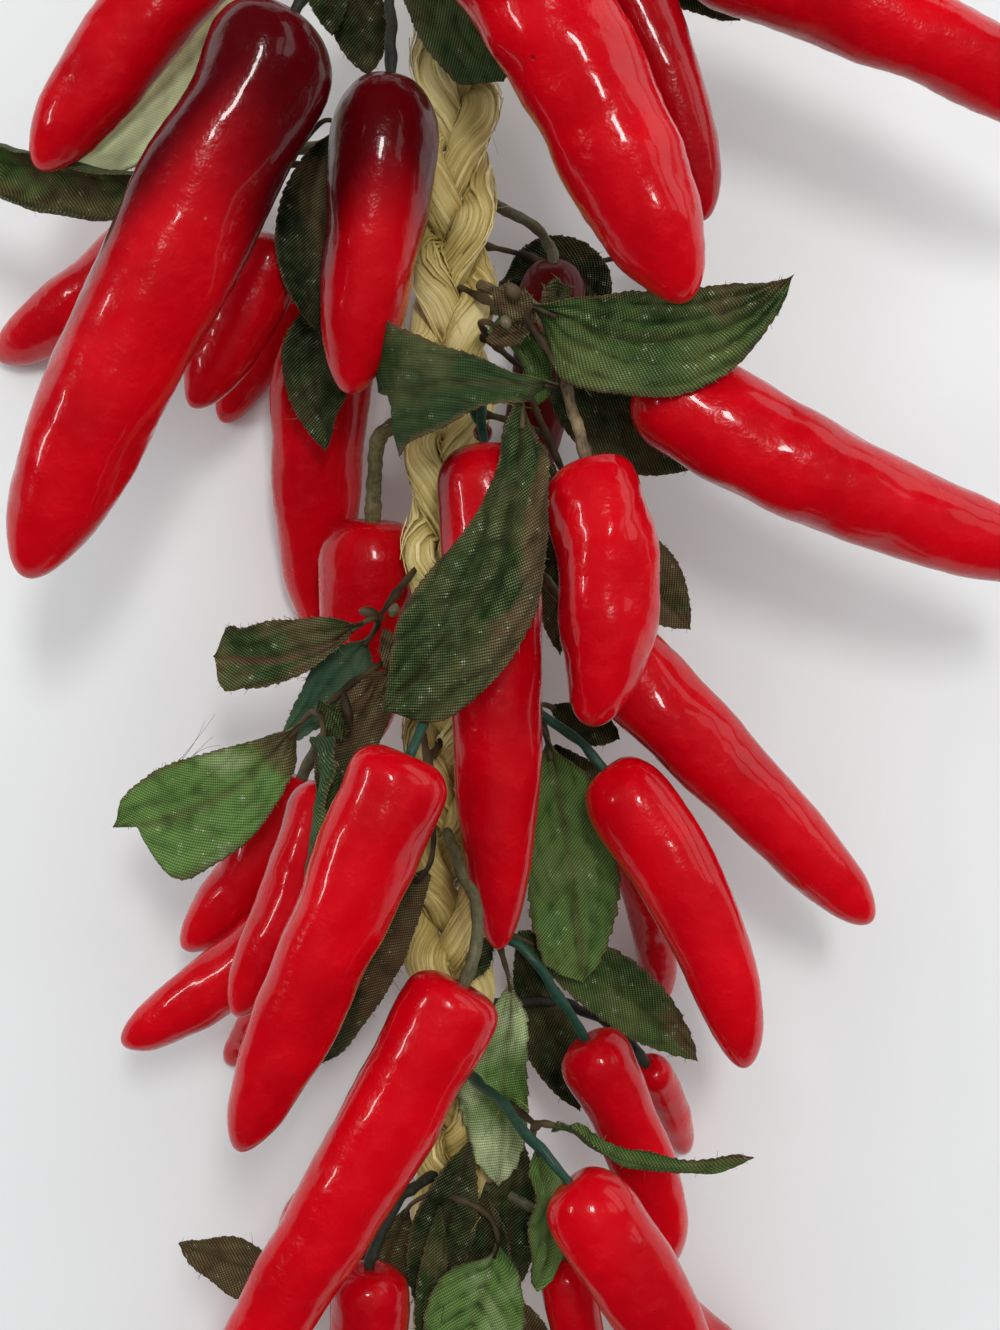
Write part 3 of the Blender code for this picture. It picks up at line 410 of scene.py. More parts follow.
def lacquerFinish(name, tint=1.0, matt=0.0):
    # red lacquer: tone drift, pits and pale scuffs, painted shade laid over the heads by the shade mark, a little
    # orange peel under a clear coat
    finish, w, shader = newFinish(name)
    place = w.place()
    drift = w.group(slowDrift, Place=place, Size=38.0)
    pits = w.group(specks, Place=place, Scale=190.0, Share=0.10, Width=0.10)["Mask"]
    scuffs = w.group(specks, Place=place, Scale=130.0, Share=0.06, Width=0.07)["Mask"]
    red, deep, bright = (tuple(c * tint for c in lacquerSet[key]) for key in ("red", "deep", "bright"))
    colour = w.layers(deep, (w.span(drift["Drift"], 0.25, 0.72), red),
                      (w.span(drift["Fine"], 0.45, 0.8, 0.0, 0.22), bright),
                      (w.times(scuffs, 0.55), lacquerSet["scuff"]),
                      (w.times(pits, 0.8), lacquerSet["pit"]),
                      # painted shade: dark red over the heads and sides wherever the shade mark is set
                      (w.mark("shade"), lacquerSet["paintedShade"]))
    rough = w.plus(w.span(drift["Fine"], 0.3, 0.8, 0.20 + matt, 0.32 + matt), w.times(scuffs, 0.3))
    peel = w.plus(w.noise(place, 380.0, 2.0), w.times(w.noise(place, 1500.0, 1.0), 0.28))
    crinkle = w.times(w.noise(place, 820.0, 1.5), w.span(drift["Fine"], 0.42, 0.62, 0.1, 1.1))
    w.surface(shader, colour, rough, w.minus(w.plus(peel, crinkle), w.times(pits, 1.2)), 0.9, 0.00015)
    shader.inputs["Coat Weight"].default_value = 0.47 * (1 - matt)
    shader.inputs["Coat Roughness"].default_value = 0.065
    shader.inputs["Coat IOR"].default_value = 1.44
    shader.inputs["IOR"].default_value = 1.38
    shader.inputs["Specular IOR Level"].default_value = 0.20
    return finish


# chillies: each body follows its CAD rings, with a dimple at the stem, soft dents and a slightly uneven round

# what all chillies share where their own look says nothing else
chilliSet = {"around": 56, "rows": 112, "lump": 0.26, "ripple": 0.050, "fit": 0.985, "stem": "dark", "sag": 0.0,
             "dome": 1.05, "tip": 0.05, "long": 0.3, "trim": 0.0, "oval": 0.03, "lumpy": 1.0, "dents": [],
             "waists": [], "shade": (0.0, 0.3), "dimple": 0.16, "crater": 0.42, "matt": False}
# what sets one chilli apart: stem kind, dome (length of the rounded head over its radius), tip (how much narrower it
# ends, over the last long part), trim (how late its head starts, in mm), oval, lumpy, dents as (place along, turn in
# degrees, depth in mm, length, width), waists as (place along, depth, length), shade (how deep the painted shade on
# its head is, and how far along), dimple depth and crater width over its radius, sag of the stem in mm, matt for dull
# dark lacquer
chilliLooks = {
    "01": {},
    "02": {"oval": 0.05, "lumpy": 1.35, "dome": 1.0, "trim": 3.0, "tip": 0.10, "shade": (0.95, 0.58),
           "dents": [(0.19, 10, 2.2, 0.09, 0.7), (0.18, 60, 1.2, 0.06, 0.5), (0.34, 165, 1.2, 0.08, 0.6),
                     (0.48, 175, -0.8, 0.07, 0.6), (0.42, 60, 0.6, 0.10, 0.5), (0.26, 130, 0.8, 0.06, 0.35)]},
    "03": {"oval": 0.04, "dome": 1.5, "tip": 0.10, "shade": (0.93, 0.70),
           "dents": [(0.70, 20, 0.7, 0.12, 0.6), (0.62, 180, 0.8, 0.12, 0.6)]},
    "04": {"stem": "olive"}, "05": {"stem": "olive", "lumpy": 1.2},
    "06": {}, "07": {"dome": 1.3},
    "08": {"stem": "bark", "oval": 0.03, "lumpy": 0.9, "dome": 1.0, "dimple": 0.30, "shade": (0.35, 0.20)},
    "09": {"stem": "wire", "oval": 0.02, "lumpy": 0.7, "tip": 0.30, "long": 0.4, "shade": (0.85, 0.20)},
    "10": {"stem": "paper", "oval": 0.05, "lumpy": 1.5, "dome": 0.95, "tip": -0.04,
           "dents": [(0.16, 180, 1.9, 0.12, 0.7), (0.40, 0, 1.1, 0.12, 0.7), (0.60, 180, -0.9, 0.14, 0.7),
                     (0.80, 0, 1.5, 0.12, 0.7), (0.52, 100, 0.7, 0.10, 0.5), (0.70, 60, 0.6, 0.10, 0.5)]},
    "11": {"stem": "olive", "dents": [(0.30, 90, 0.4, 0.10, 0.5)]}, "12": {"stem": "olive", "dome": 1.2},
    "13": {"oval": 0.05, "lumpy": 1.5, "tip": 0.04,
           "dents": [(0.22, 80, 0.9, 0.05, 0.35), (0.30, 100, 0.7, 0.04, 0.35), (0.38, 80, 0.6, 0.05, 0.4),
                     (0.60, 0, 0.7, 0.10, 0.6)]},
    "14": {"oval": 0.04, "shade": (0.45, 1.3)},
    "15": {"oval": 0.04, "lumpy": 1.2, "dents": [(0.52, 300, 0.9, 0.05, 0.6)]},
    "16": {"stem": "olive", "lumpy": 0.6, "dome": 1.3, "matt": True, "sag": 9},
    "19": {"stem": "wire", "oval": 0.04, "dome": 1.25, "tip": 0.12}, "20": {"sag": 7},
    "21": {"stem": "wire", "dome": 1.0, "waists": [(0.34, 0.12, 0.12)]}, "22": {"sag": 7},
    "23": {"stem": "wire", "dome": 1.15}, "24": {"stem": "olive"}, "25": {"sag": 6},
    "26": {"dome": 0.9},
    "27": {"stem": "olive", "oval": 0.04, "dome": 0.62, "tip": 0.10, "crater": 0.55,
           "dents": [(0.05, 200, 0.9, 0.04, 0.5), (0.24, 180, 0.6, 0.06, 0.5), (0.30, 60, 0.5, 0.08, 0.5)]},
    "28": {"stem": "wire", "dome": 0.72, "tip": 0.15,
           "dents": [(0.30, 150, 0.8, 0.10, 0.6), (0.46, 150, 0.6, 0.08, 0.5), (0.40, 20, 0.6, 0.10, 0.5)]},
    "29": {"stem": "wire"}, "30": {"stem": "olive"}, "31": {"stem": "olive"}, "32": {},
    "34": {}, "35": {"stem": "paper"}, "36": {"stem": "wire"}, "37": {},
    "38": {"stem": "paper"}, "39": {"stem": "wire"},
}


def chilliParts(name):  # body line and its radii from head to tip, and the stem line from the braid to the head
    rings = ringsOf(name)[::-1]
    stemRings = 4 if len(rings[0]) == 8 else 3
    body, tip = rings[stemRings:-1], rings[-1][0]
    line, wide = middles(body), girths(body)
    head = line[0] - unit(line[1] - line[0]) * 0.035 * wide.max()
    return np.vstack([head, line, tip]), np.concatenate([[0.0], wide, [0.0]]), middles(rings[:stemRings])


def chilliBody(line, wide, look, seed):
    # point = line(s + dimple bell(r)) + r(s) (1 + oval (cos 2a + cos 3a / 2) + lumps - dents) (cos a side + sin a up)
    # r(s) = CAD radius x dome sqrt(1 - (1 - s/d)^2.3) x (1 - tip ease) x waists
    oval, last = look["oval"], look["long"]
    r = np.random.default_rng(100 + seed)
    far, most, first = travel(line), wide.max(), 3 if len(wide) > 8 else 2
    t = np.linspace(0, 1, look["rows"])[1:-1]
    t = 0.35 * t + 0.65 * (0.5 - 0.5 * np.cos(math.pi * t))
    trim = look["trim"] * mm
    s = trim + t * (far[-1] - trim)
    knots = np.concatenate([[0.0, 0.5 * far[first]], far[first:]])
    full = np.concatenate([[wide[first]] * 2, wide[first:]])
    radius = np.sqrt(np.maximum(through(knots, full ** 2, s), 1e-10)) * look["fit"]
    radius *= (1 - np.clip(1 - (s - trim) / (look["dome"] * most), 0, 1) ** 2.3) ** 0.5
    radius *= 1 - look["tip"] * ease((t - 1 + last) / last)
    for along, depth, long in look["waists"]:
        radius *= 1 - depth * bell(t - along, long)
    dimple = look["dimple"] * most
    sink = dimple * bell(radius, look["crater"] * most) * (t < 0.3)
    axis = through(far, line, np.minimum(s + sink, far[-1]))
    steps = 60
    _, side, up = framesOf(resample(line, steps), (0, 0, 1.0))
    near = np.clip(s / far[-1] * (steps - 1), 0, steps - 1)
    side, up = (through(np.arange(steps), v, near)[:, None] for v in (side, up))
    a, t = angles(look["around"]), t[:, None]
    lobe = oval * np.cos(2 * (a - r.uniform(0, 6)) + 1.5 * t) + 0.5 * oval * np.cos(3 * (a - r.uniform(0, 6)) - 2 * t)
    body = ease(radius / most * 1.1)[:, None]
    reach = radius[:, None] * (1 + lobe * body - oval * 0.4)
    for along, turn, depth, long, broad in look["dents"]:
        off = (a - math.radians(turn) + math.pi) % (2 * math.pi) - math.pi
        reach = reach - depth * mm * bell(t - along, long) * bell(off, broad)
    ball = np.cos(a)[:, None] * side + np.sin(a)[:, None] * up
    grid = axis[:, None] + ball * reach[..., None]
    lump = wander(grid, 17 * mm, 300 + seed) * look["lump"] + wander(grid, 5 * mm, 400 + seed) * look["ripple"]
    grid = grid + ball * (lump * look["lumpy"] * body * mm - 0.12 * mm)[..., None]
    grid[..., 2] = np.maximum(grid[..., 2], 0.0)
    # painted shade on the head: the first shade value is how dark, the second how far along; the dark reaches further
    # down the sides, most on one side, and less far on the top that faces the camera
    deep, reached = look["shade"]
    rim = 0.14 * np.cos(a) + 0.12 * np.abs(np.cos(a)) - 0.16 * np.sin(a)
    start = through(far, line, [trim + dimple])[0]
    return shell(grid, start, line[-1], shade=deep * ease((reached - t + rim) / 0.32))


# stems: wire is bare green plastic, paper is wrapped brown, bark is thick and olive, dark is old black-green tape;
# thick is the radius in mm and wrap the height of the spiral ridge

stemSet = {
    "wire": {"name": "greenWire", "thick": 1.15, "wrap": 0.0, "rough": 0.42, "coat": 0.12,
             "dark": (0.004, 0.036, 0.020), "light": (0.009, 0.085, 0.046)},
    "paper": {"name": "brownPaper", "thick": 1.2, "wrap": 0.16, "rough": 0.6, "coat": 0.0,
              "dark": (0.040, 0.022, 0.010), "light": (0.36, 0.26, 0.13)},
    "olive": {"name": "oliveStem", "thick": 1.3, "wrap": 0.07, "rough": 0.55, "coat": 0.05,
              "dark": (0.045, 0.048, 0.018), "light": (0.16, 0.15, 0.065)},
    "bark": {"name": "barkStem", "thick": 1.75, "wrap": 0.22, "rough": 0.65, "coat": 0.0,
             "dark": (0.050, 0.042, 0.014), "light": (0.20, 0.17, 0.065)},
    "dark": {"name": "darkTape", "thick": 1.2, "wrap": 0.10, "rough": 0.55, "coat": 0.0,
             "dark": (0.008, 0.014, 0.008), "light": (0.03, 0.035, 0.02)},
}


def stemShell(line, wide, stem, kind, seed, sag):
    # a tube from inside the braid into the dimple: thick + wrap |sin(a / 2 + 0.9 length)|, wider at the head
    spec, rows, around, sunk = stemSet[kind], 70, 14, 0.30 * wide.max()
    inner, into = stem[0] + unit(stem[0] - stem[1]) * 3.5 * mm, line[0] + unit(line[1] - line[0]) * sunk
    path = resample(np.vstack([inner, stem, line[0], into]), rows)
    arch = np.sin(math.pi * np.linspace(0, 1, rows))
    path = path + np.stack([wander(path, 9 * mm, seed + k) for k in range(3)], -1) * (0.35 * mm * arch)[:, None]
    path[:, 2] = np.maximum(path[:, 2] - sag * mm * arch, 1.6 * mm)
    far = travel(path)[:, None] / mm
    ridge = spec["wrap"] * np.abs(np.sin(angles(around) * 0.5 + far * 0.9 + 0.4 * np.sin(far * 0.7)))
    thick = spec["thick"] * (1 + 0.10 * wander(path, 6 * mm, seed + 9)[:, None]) + ridge
    if kind != "wire":
        thick = thick * (1 + 0.16 * bell(far[-1] - far - sunk / mm - 1.5, 2.2))
    return shell(tubeAround(path, thick * mm, around), u=far[:, 0] * mm, fibre=np.arange(around)[None] * 1.3, run=far)


def stemFinish(name, dark, light, rough, coat):  # wrapped or plastic-coated wire: streaks along it and a mottled tone
    finish, w, shader = newFinish(name)
    drift, streak = w.group(slowDrift, Place=w.place(), Size=160.0), fibreStreak(w)
    tone = w.plus(w.times(drift["Drift"], 0.4), w.times(streak, 0.6))
    colour = w.layers(dark, (w.span(tone, 0.38, 0.62), light),
                      (w.span(drift["Fine"], 0.35, 0.75, 0.0, 0.6), tuple(0.4 * c for c in dark)))
    w.surface(shader, colour, w.span(drift["Fine"], 0.3, 0.7, rough * 0.8, rough * 1.2),
              w.plus(drift["Fine"], streak), 0.45, 0.0003)
    shader.inputs["Coat Weight"].default_value = coat
    shader.inputs["Coat Roughness"].default_value = 0.1
    return finish


def buildChillies():
    red, dull = lacquerFinish("redLacquer"), lacquerFinish("dullLacquer", 0.17, 0.35)
    stems = {kind: stemFinish(*(spec[key] for key in ("name", "dark", "light", "rough", "coat")))
             for kind, spec in stemSet.items()}
    for key, own in chilliLooks.items():
        look = {**chilliSet, **own}
        node, kind = "chilli_" + key, look["stem"]
        line, wide, stem = chilliParts(node)
        body = chilliBody(line, wide, look, int(key))
        addPiece(node + "_body", [body], [dull if look["matt"] else red], [node])
        tube = stemShell(line, wide, stem, kind, 20 * int(key), look["sag"])
        addPiece(node + "_stem", [tube], [stems[kind]], ())
    print("chillies built:", len(chilliLooks))


# leaves: cloth blades on short stalks, two to a spray, each blade hung on its CAD rings

leafPlaces = [0, 0.2, 0.4, 0.6, 0.8, 0.93, 1.0]  # where half widths and sweep are given; the tip has no width
# what all leaves share where their own look says nothing else
leafSet = {"rows": 110, "across": 34, "thick": 0.42, "teeth": 2.1, "teethSize": 0.32, "hairs": 34, "threads": False,
           "half": [0.07, 0.62, 0.96, 1.0, 0.70, 0.30], "sweep": [0, 0, 0, 0, 0, 0, 0], "skew": 0.0,
           "vein": 7.0, "slant": 0.7, "quilt": 0.30, "pleat": 0.25, "pleats": 2.2, "crease": 0.15, "wave": 0.45,
           "curlLeft": 0.0, "curlRight": 0.0, "tone": 0.4, "teal": 0.0, "smooth": 0.0, "grain": 45, "rib": 0.25,
           "brown": 0.3, "brownRoot": 0.0, "brownTip": 0.0, "brownSide": 0.0}
# long loose threads on one edge: where they start, their lengths in mm and how far they lean back
threadSet = {"places": [0.55, 0.50, 0.58, 0.5], "long": [11, 8, 9, 6], "lean": [0.7, 1.0, 0.85, 1.0]}
# each spray: which way its first leaf lies from the second, how far up the braid its stalk climbs in mm, then what
# sets each leaf apart: left and right half widths (half where they are the same), sweep (sideways shift in mm), skew
# (how far its end is cut slantwise, in mm), vein, slant and quilt of the veins, pleat and pleats (height in mm and
# count of the lengthwise folds), crease, wave, curl, tone, brown and where there is more of it, teal, smooth, grain
# (turn of the threads in degrees), rib (how brown it is), teethSize, hairs, threads
sprayLooks = {
    "01": ("right", 20, {"left": [0.12, 0.56, 0.77, 0.72, 0.46, 0.15], "right": [0.15, 1.02, 1.06, 0.94, 0.50, 0.20],
            "quilt": 0.5, "vein": 6.5, "slant": 2.4, "pleat": 1.5, "pleats": 2.6, "brown": 0.3, "brownTip": 1.0,
            "tone": 0.62, "grain": 24, "crease": 0.7, "wave": 1.0},
           {"left": [0.10, 0.28, 0.36, 0.60, 0.82, 0.80], "right": [0.10, 0.14, 0.36, 0.62, 0.96, 1.14], "skew": 3.6,
            "quilt": 0.08, "pleat": 0.1, "tone": 0.44, "brown": 0.3, "grain": 80, "smooth": 0.8, "teal": 0.15,
            "crease": 0.45, "wave": 1.1}),
    "02": ("up", 6, {"half": [0.5, 0.9, 1.0, 1.0, 0.9, 0.6], "tone": 0.80, "grain": 82, "brown": 0.0, "quilt": 0.1,
            "curlLeft": 0.7, "curlRight": 0.9},
           {"tone": 0.32, "brown": 0.4}),
    "03": ("down", 8, {"left": [0.35, 0.50, 0.76, 1.03, 0.98, 0.66], "right": [0.35, 0.36, 0.57, 0.90, 0.76, 0.30],
            "quilt": 0.35, "vein": 6.5, "slant": 0.9, "pleat": 0.6, "pleats": 1.6, "tone": 0.41, "brown": 0.3,
            "brownSide": 1.0, "grain": 42, "wave": 1.2, "crease": 0.7},
           {"tone": 0.2, "brown": 0.6}),
    "04": ("left", 0, {"tone": 0.05, "brown": 0.3},
           {"sweep": [0, -3, -7, -9, -9, -8, -7], "left": [0.1, 0.4, 0.5, 0.5, 0.4, 0.2], "tone": 0.1}),
    # spray 05's first leaf: tone 2.0 lays the pale colour over it, painted light that makes it look lit
    "05": ("left", 0, {"tone": 2.0, "brown": 0.0, "grain": 25, "quilt": 0.2, "pleat": 0.15, "crease": 0.25,
            "smooth": 0.8},
           {"tone": 0.3}),
    "06": ("left", 0, {"left": [0.4, 1.1, 1.35, 1.35, 1.15, 0.7], "right": [0.4, 1.0, 1.35, 1.35, 1.15, 0.7],
            "sweep": [0, -1.2, -1.8, -1.6, -0.6, 0.6, 1.4], "tone": 1.08, "quilt": 0.5, "brown": 0.8,
            "brownSide": 1.4, "curlLeft": 1.3, "curlRight": 0.5, "wave": 0.9, "crease": 0.4},
           {"tone": 0.1, "brown": 0.6, "wave": 0.8}),
    "07": ("left", 0, {"left": [0.3, 0.8, 1.0, 1.05, 0.9, 0.6], "right": [0.3, 0.7, 1.0, 1.1, 1.0, 0.7], "tone": 0.80,
            "brown": 0.6, "wave": 0.9, "quilt": 0.4, "teal": 0.45, "crease": 0.6},
           {"tone": 0.3, "brown": 0.5}),
    "08": ("up", 20, {"left": [0.15, 0.22, 0.50, 0.72, 0.84, 0.80], "right": [0.30, 0.80, 1.06, 1.20, 1.00, 0.86],
            "tone": 0.62, "brown": 0.75, "brownSide": 0.8, "pleat": 0.5, "grain": 60, "hairs": 110, "rib": 1.0,
            "crease": 0.4},
           {"left": [0.15, 0.9, 1.1, 0.85, 0.5, 0.3], "right": [0.15, 0.6, 0.8, 0.6, 0.4, 0.2], "tone": 0.65,
            "smooth": 1.0, "teal": 1.0, "brown": 0.5}),
    "09": ("left", 18, {"left": [0.12, 0.55, 0.92, 1.14, 1.02, -0.25], "right": [0.12, 0.50, 0.88, 1.06, 0.90, 0.52],
            "tone": 1.10, "brown": 0.12, "brownRoot": 1.0, "grain": 55, "wave": 0.9, "threads": True, "rib": 0.4,
            "crease": 0.45, "quilt": 0.25, "pleat": 0.35, "slant": 0.4, "vein": 5.5},
           {"half": [0.5, 0.85, 0.9, 0.85, 0.75, 0.5], "tone": 0.60, "brown": 0.3, "curlLeft": 0.8,
            "curlRight": 0.8}),
    "10": ("up", 6, {"tone": 0.1, "brown": 1.0, "wave": 1.0, "crease": 0.4},
           {"left": [0.2, 0.8, 1.1, 1.1, 0.8, 0.4], "tone": 0.10, "brown": 0.4, "wave": 0.6, "brownSide": 0.8}),
    "11": ("down", 4, {"left": [0.15, 0.80, 1.0, 1.04, 0.74, 0.36], "right": [0.15, 0.66, 0.88, 1.02, 0.97, 0.66],
            "tone": 0.90, "brown": 0.25, "quilt": 0.4, "slant": 0.9, "teethSize": 0.8, "crease": 0.5, "rib": 0.5},
           {"tone": 0.15}),
    "12": ("right", 6, {"left": [0.2, 0.8, 1.1, 1.05, 0.7, 0.3], "tone": 0.62, "brown": 0.3, "brownTip": 0.6,
            "teethSize": 0.5, "crease": 0.3},
           {"sweep": [0, -2, -4, -4, -2.5, -1, 0], "left": [0.12, 0.5, 0.62, 0.7, 0.6, 0.3],
            "right": [0.12, 0.6, 1.05, 1.15, 0.9, 0.5], "tone": 1.25, "brown": 0.0, "quilt": 0.3, "grain": 15,
            "teethSize": 0.6, "wave": 1.1, "crease": 0.5}),
    "13": ("right", 4, {"sweep": [0, -2.0, -4.0, -4.8, -3.0, -1.2, 0], "half": [0.34, 0.42, 0.42, 0.40, 0.34, 0.2],
            "tone": 0.75, "brown": 0.2, "brownTip": 0.9, "wave": 0.8, "curlLeft": 0.7, "curlRight": 0.5},
           {"tone": 1.05, "brown": 0.1, "wave": 1.0, "crease": 0.5}),
    "14": ("right", 4, {"half": [0.2, 0.75, 1.05, 1.05, 0.75, 0.3], "tone": 1.08, "brown": 0.0, "quilt": 1.0,
            "slant": 0.9, "vein": 5.0, "teethSize": 0.5, "crease": 0.5},
           {"tone": 0.15, "brown": 0.6}),
    "15": ("up", 0, {"tone": 0.4, "brown": 0.9}, {"tone": 0.5}),
    "16": ("", 0, {"tone": 0.5, "brown": 1.0, "wave": 0.7}),
    "17": ("", 0, {"half": [0.1, 0.75, 1.0, 0.9, 0.5, 0.22], "tone": 0.16, "brown": 0.3, "wave": 0.8, "quilt": 0.5,
            "crease": 0.5}),
    "18": ("left", 0, {"tone": 0.6}, {"tone": 0.4}),
}


def leafRib(rings, tip, t):  # middle line, run and left hand at t; length in mm, half width and fold angle of a blade
    row, apart = np.arange(len(rings)), np.linalg.norm(rings[:, :, None] - rings[:, None, :], axis=-1)
    pair = apart.reshape(len(rings), 16).argmax(1)
    edgeA, edgeB = rings[row, pair // 4], rings[row, pair % 4]
    rib = (rings.sum(1) - edgeA - edgeB) / 2
    line = np.vstack([rib, tip])
    run, left, lift = unit(np.gradient(line, axis=0)), unit(edgeA - edgeB), (edgeA + edgeB) / 2 - rib
    left = left * np.sign(np.sum(left * left[2], 1))[:, None]
    if np.sum(np.cross(run[:-1], left) * lift) < 0:
        left = -left
    half, far = 0.5 * np.linalg.norm(edgeA - edgeB, axis=1), travel(line)
    middle, run, left = (through(far, v, t * far[-1]) for v in (line, run, np.vstack([left, left[-1]])))
    run, fold = unit(run), math.atan2(np.linalg.norm(lift[2]), half[2])
    return middle, run, squareTo(run, unit(left)), far[-1] / mm, half.max() * 1.04, fold


def leafShells(rings, tip, own, seed):
    # point = rib(u) + run skew w u^2 + left(u) (sweep(u) + x cos(b)) + normal(u) (|x| sin(b) + quilt |sin(vein)|
    # + pleat |sin(lane)| + wave w^2 + folds), x = w half(u) (1 + teeth), lane = pleats w + sines of u,
    # folds = wander - crease |wander|
    r, look = np.random.default_rng(seed), {**leafSet, **own}
    rows, across = look["rows"], look["across"]
    t = np.linspace(0, 1, rows + 1)[:-1]
    middle, run, left, long, wide, fold = leafRib(rings, tip, t)
    normal = np.cross(run, left)
    middle = middle + left * (through(leafPlaces, look["sweep"], t) * mm)[:, None]
    u, w = t[:, None], np.linspace(-1, 1, across)[None]
    w = 0.75 * w + 0.25 * np.sin(w * math.pi / 2)
    off, onLeft, opened = np.abs(w), w >= 0, ease(u * 5)

    tooth, sides = look["teethSize"], []
    pitch = look["teeth"] * (2 if tooth > 0.4 else 1)
    close = np.sqrt(np.clip((1 - t) / 0.05, 0, 1))
    for side, shift in (("right", 0.0), ("left", 0.4)):
        shape = through(leafPlaces, look.get(side, look["half"]) + [0.0], t)
        shape = np.maximum(shape, 0.0)
        jag = tooth * ((t * long / pitch + shift) % 1.0 - 0.5) + 0.22 * (r.random(rows) - 0.5)
        sides.append(np.maximum(shape * wide / mm + jag * np.minimum(1, shape * 3), 0.4) * close)
    x = w * np.where(onLeft, sides[1][:, None], sides[0][:, None])

    curl = np.where(onLeft, look["curlLeft"], look["curlRight"])
    bend = opened * (fold + curl * off ** 1.5)
    soft = np.sqrt(x * x + 0.16) - 0.4
    phase = (u * long - look["slant"] * np.abs(x)) / look["vein"]
    quilt = look["quilt"] * (np.abs(np.sin(math.pi * phase)) ** 0.7 - 0.5) * (1 - off ** 3) * opened
    turn = r.uniform(0, 6, 3)
    lane = w * look["pleats"] + 0.28 * np.sin(5 * u + turn[2]) + 0.12 * np.sin(13 * u + turn[1])
    pleat = look["pleat"] * (np.abs(np.sin(math.pi * lane)) ** 0.6 - 0.62) * (1 - off ** 4) * opened
    groove = -0.35 * bell(x, 0.7) * ease((1 - u) * 4)
    wave = look["wave"] * off ** 2 * np.sin(2 * math.pi * 2.3 * u + np.where(onLeft, turn[1], turn[0]))
    slide = -look["skew"] * w * u ** 2
    rise = soft * np.sin(bend) + quilt + pleat + groove + wave * opened
    top = (middle[:, None] + left[:, None] * (x * np.cos(bend) * mm)[..., None]
           + run[:, None] * (slide * mm)[..., None] + normal[:, None] * (rise * mm)[..., None])
    drawn = np.stack([0.34 * u * long + 0.25 * np.abs(x), x, 0 * x], -1) * mm
    fine = 0.25 - bell(wander(drawn, 6 * mm, seed + 2), 0.42) * 0.8
    fine = (fine - bell(wander(drawn, 3 * mm, seed + 3), 0.40) * 0.35) * look["crease"]
    top = top + normal[:, None] * ((wander(top, 12 * mm, seed + 1) * 0.42 + fine) * opened * mm)[..., None]

    def both(value):  # the same value on the face and on the back of the blade
        value = np.broadcast_to(value, (rows, across))
        return np.concatenate([value, value[:, ::-1]], 1)

    x, w, slope = both(x), both(w), math.radians(look["grain"])
    brown = (look["brown"] + look["brownRoot"] * ease((0.36 - u) / 0.3)
             + look["brownTip"] * ease((u - 0.62 + 0.12 * w) / 0.3) * ease(0.6 + 0.8 * w)
             + look["brownSide"] * ease((w - 0.05 * u - 0.25) / 0.5) * ease((0.8 - u) / 0.3))
    under = top - normal[:, None] * look["thick"] * mm
    # fold heights that the cloth finish turns into painted shade in the valleys and painted light on the crests
    relief = both(np.clip((quilt + pleat + fine * opened + 0.5 * groove) / 0.75, -1, 1))
    blade = shell(np.concatenate([top, under[:, ::-1]], 1), middle[0], tip, u=t, edge=np.abs(w), rib=np.abs(x),
                  brown=brown, relief=relief, back=np.repeat([[0.0, 1.0]], across, axis=1),
                  warp=u * long * math.cos(slope) + x * math.sin(slope),
                  weft=x * math.cos(slope) - u * long * math.sin(slope), midrib=look["rib"],
                  **{key: look[key] for key in ("tone", "teal", "smooth")})
    return [blade, leafHairs(top, run, left, normal, look, r)], middle


def leafHairs(top, run, left, normal, look, r):  # frayed threads: short curved hairs that leave the edge
    rows, across = top.shape[:2]
    count = look["hairs"]
    pick, edge = r.integers(4, rows - 1, count), r.integers(0, 2, count)
    root = top[pick, edge * (across - 1)]
    out = ((2 * edge - 1)[:, None] * left[pick] + run[pick] * r.uniform(-0.2, 1.2, (count, 1))
           + normal[pick] * r.normal(0, 0.5, (count, 1)))
    size = r.uniform(0.4, 1.2, count) * mm
    size[:int(count * 0.08)] *= 2.4
    if look["threads"]:
        size[:4] = np.array(threadSet["long"]) * mm
        near = (np.array(threadSet["places"]) * rows).astype(int)
        root[:4] = top[near, 0]
        out[:4] = -left[near] * 0.55 - run[near] * np.array(threadSet["lean"])[:, None] + normal[0] * 0.25
    return hairShell(root, unit(out), size, 0.075 * mm, r, 1)


def hairShell(root, way, size, thick, r, finish, rows=6):  # thin curved tubes: root + way s + bend s^2
    s = np.linspace(0, 1, rows)[:, None]
    bend = r.normal(0, 0.35, (len(root), 3))
    line = root[:, None] - way[:, None] * 0.3 * mm + (way[:, None] * s + bend[:, None] * s ** 2) * size[:, None, None]
    run = unit(np.gradient(line, axis=1))
    side = unit(np.cross(run, (0.3, 0.2, 1.0)))
    thin = thick * (1.1 - 0.6 * s)[None, :, :, None]
    return shell(tubesAround(line, side, np.cross(side, run), thin, thin, 3), finish=finish, tone=r.random(len(root)))


# stalks: radius in mm and knots (place along, how much thicker) of the one that joins two leaves and the one that
# climbs to the braid; bow is how far that one bends on the way, lowest its least height in mm
stalkSet = {"join": (0.62, [(0.35, 0.35), (0.5, 0.9), (0.64, 0.35)]), "climb": (0.78, [(0.3, 0.5), (0.68, 0.6)]),
            "bow": (0, 0.20, -0.24), "lowest": 2.0, "rows": 40}


def stalkShell(line, kind, seed):  # tube along a line, thicker at its knots and a little uneven
    thick, knots = stalkSet[kind]
    path, t = resample(line, stalkSet["rows"]), np.linspace(0, 1, stalkSet["rows"])
    size = thick * (1 + 0.12 * wander(path, 5 * mm, seed))
    for place, more in knots:
        size = size * (1 + more * bell(t - place, 0.06))
    return shell(tubeAround(path, size * mm, 12), finish=2, tone=0.5)


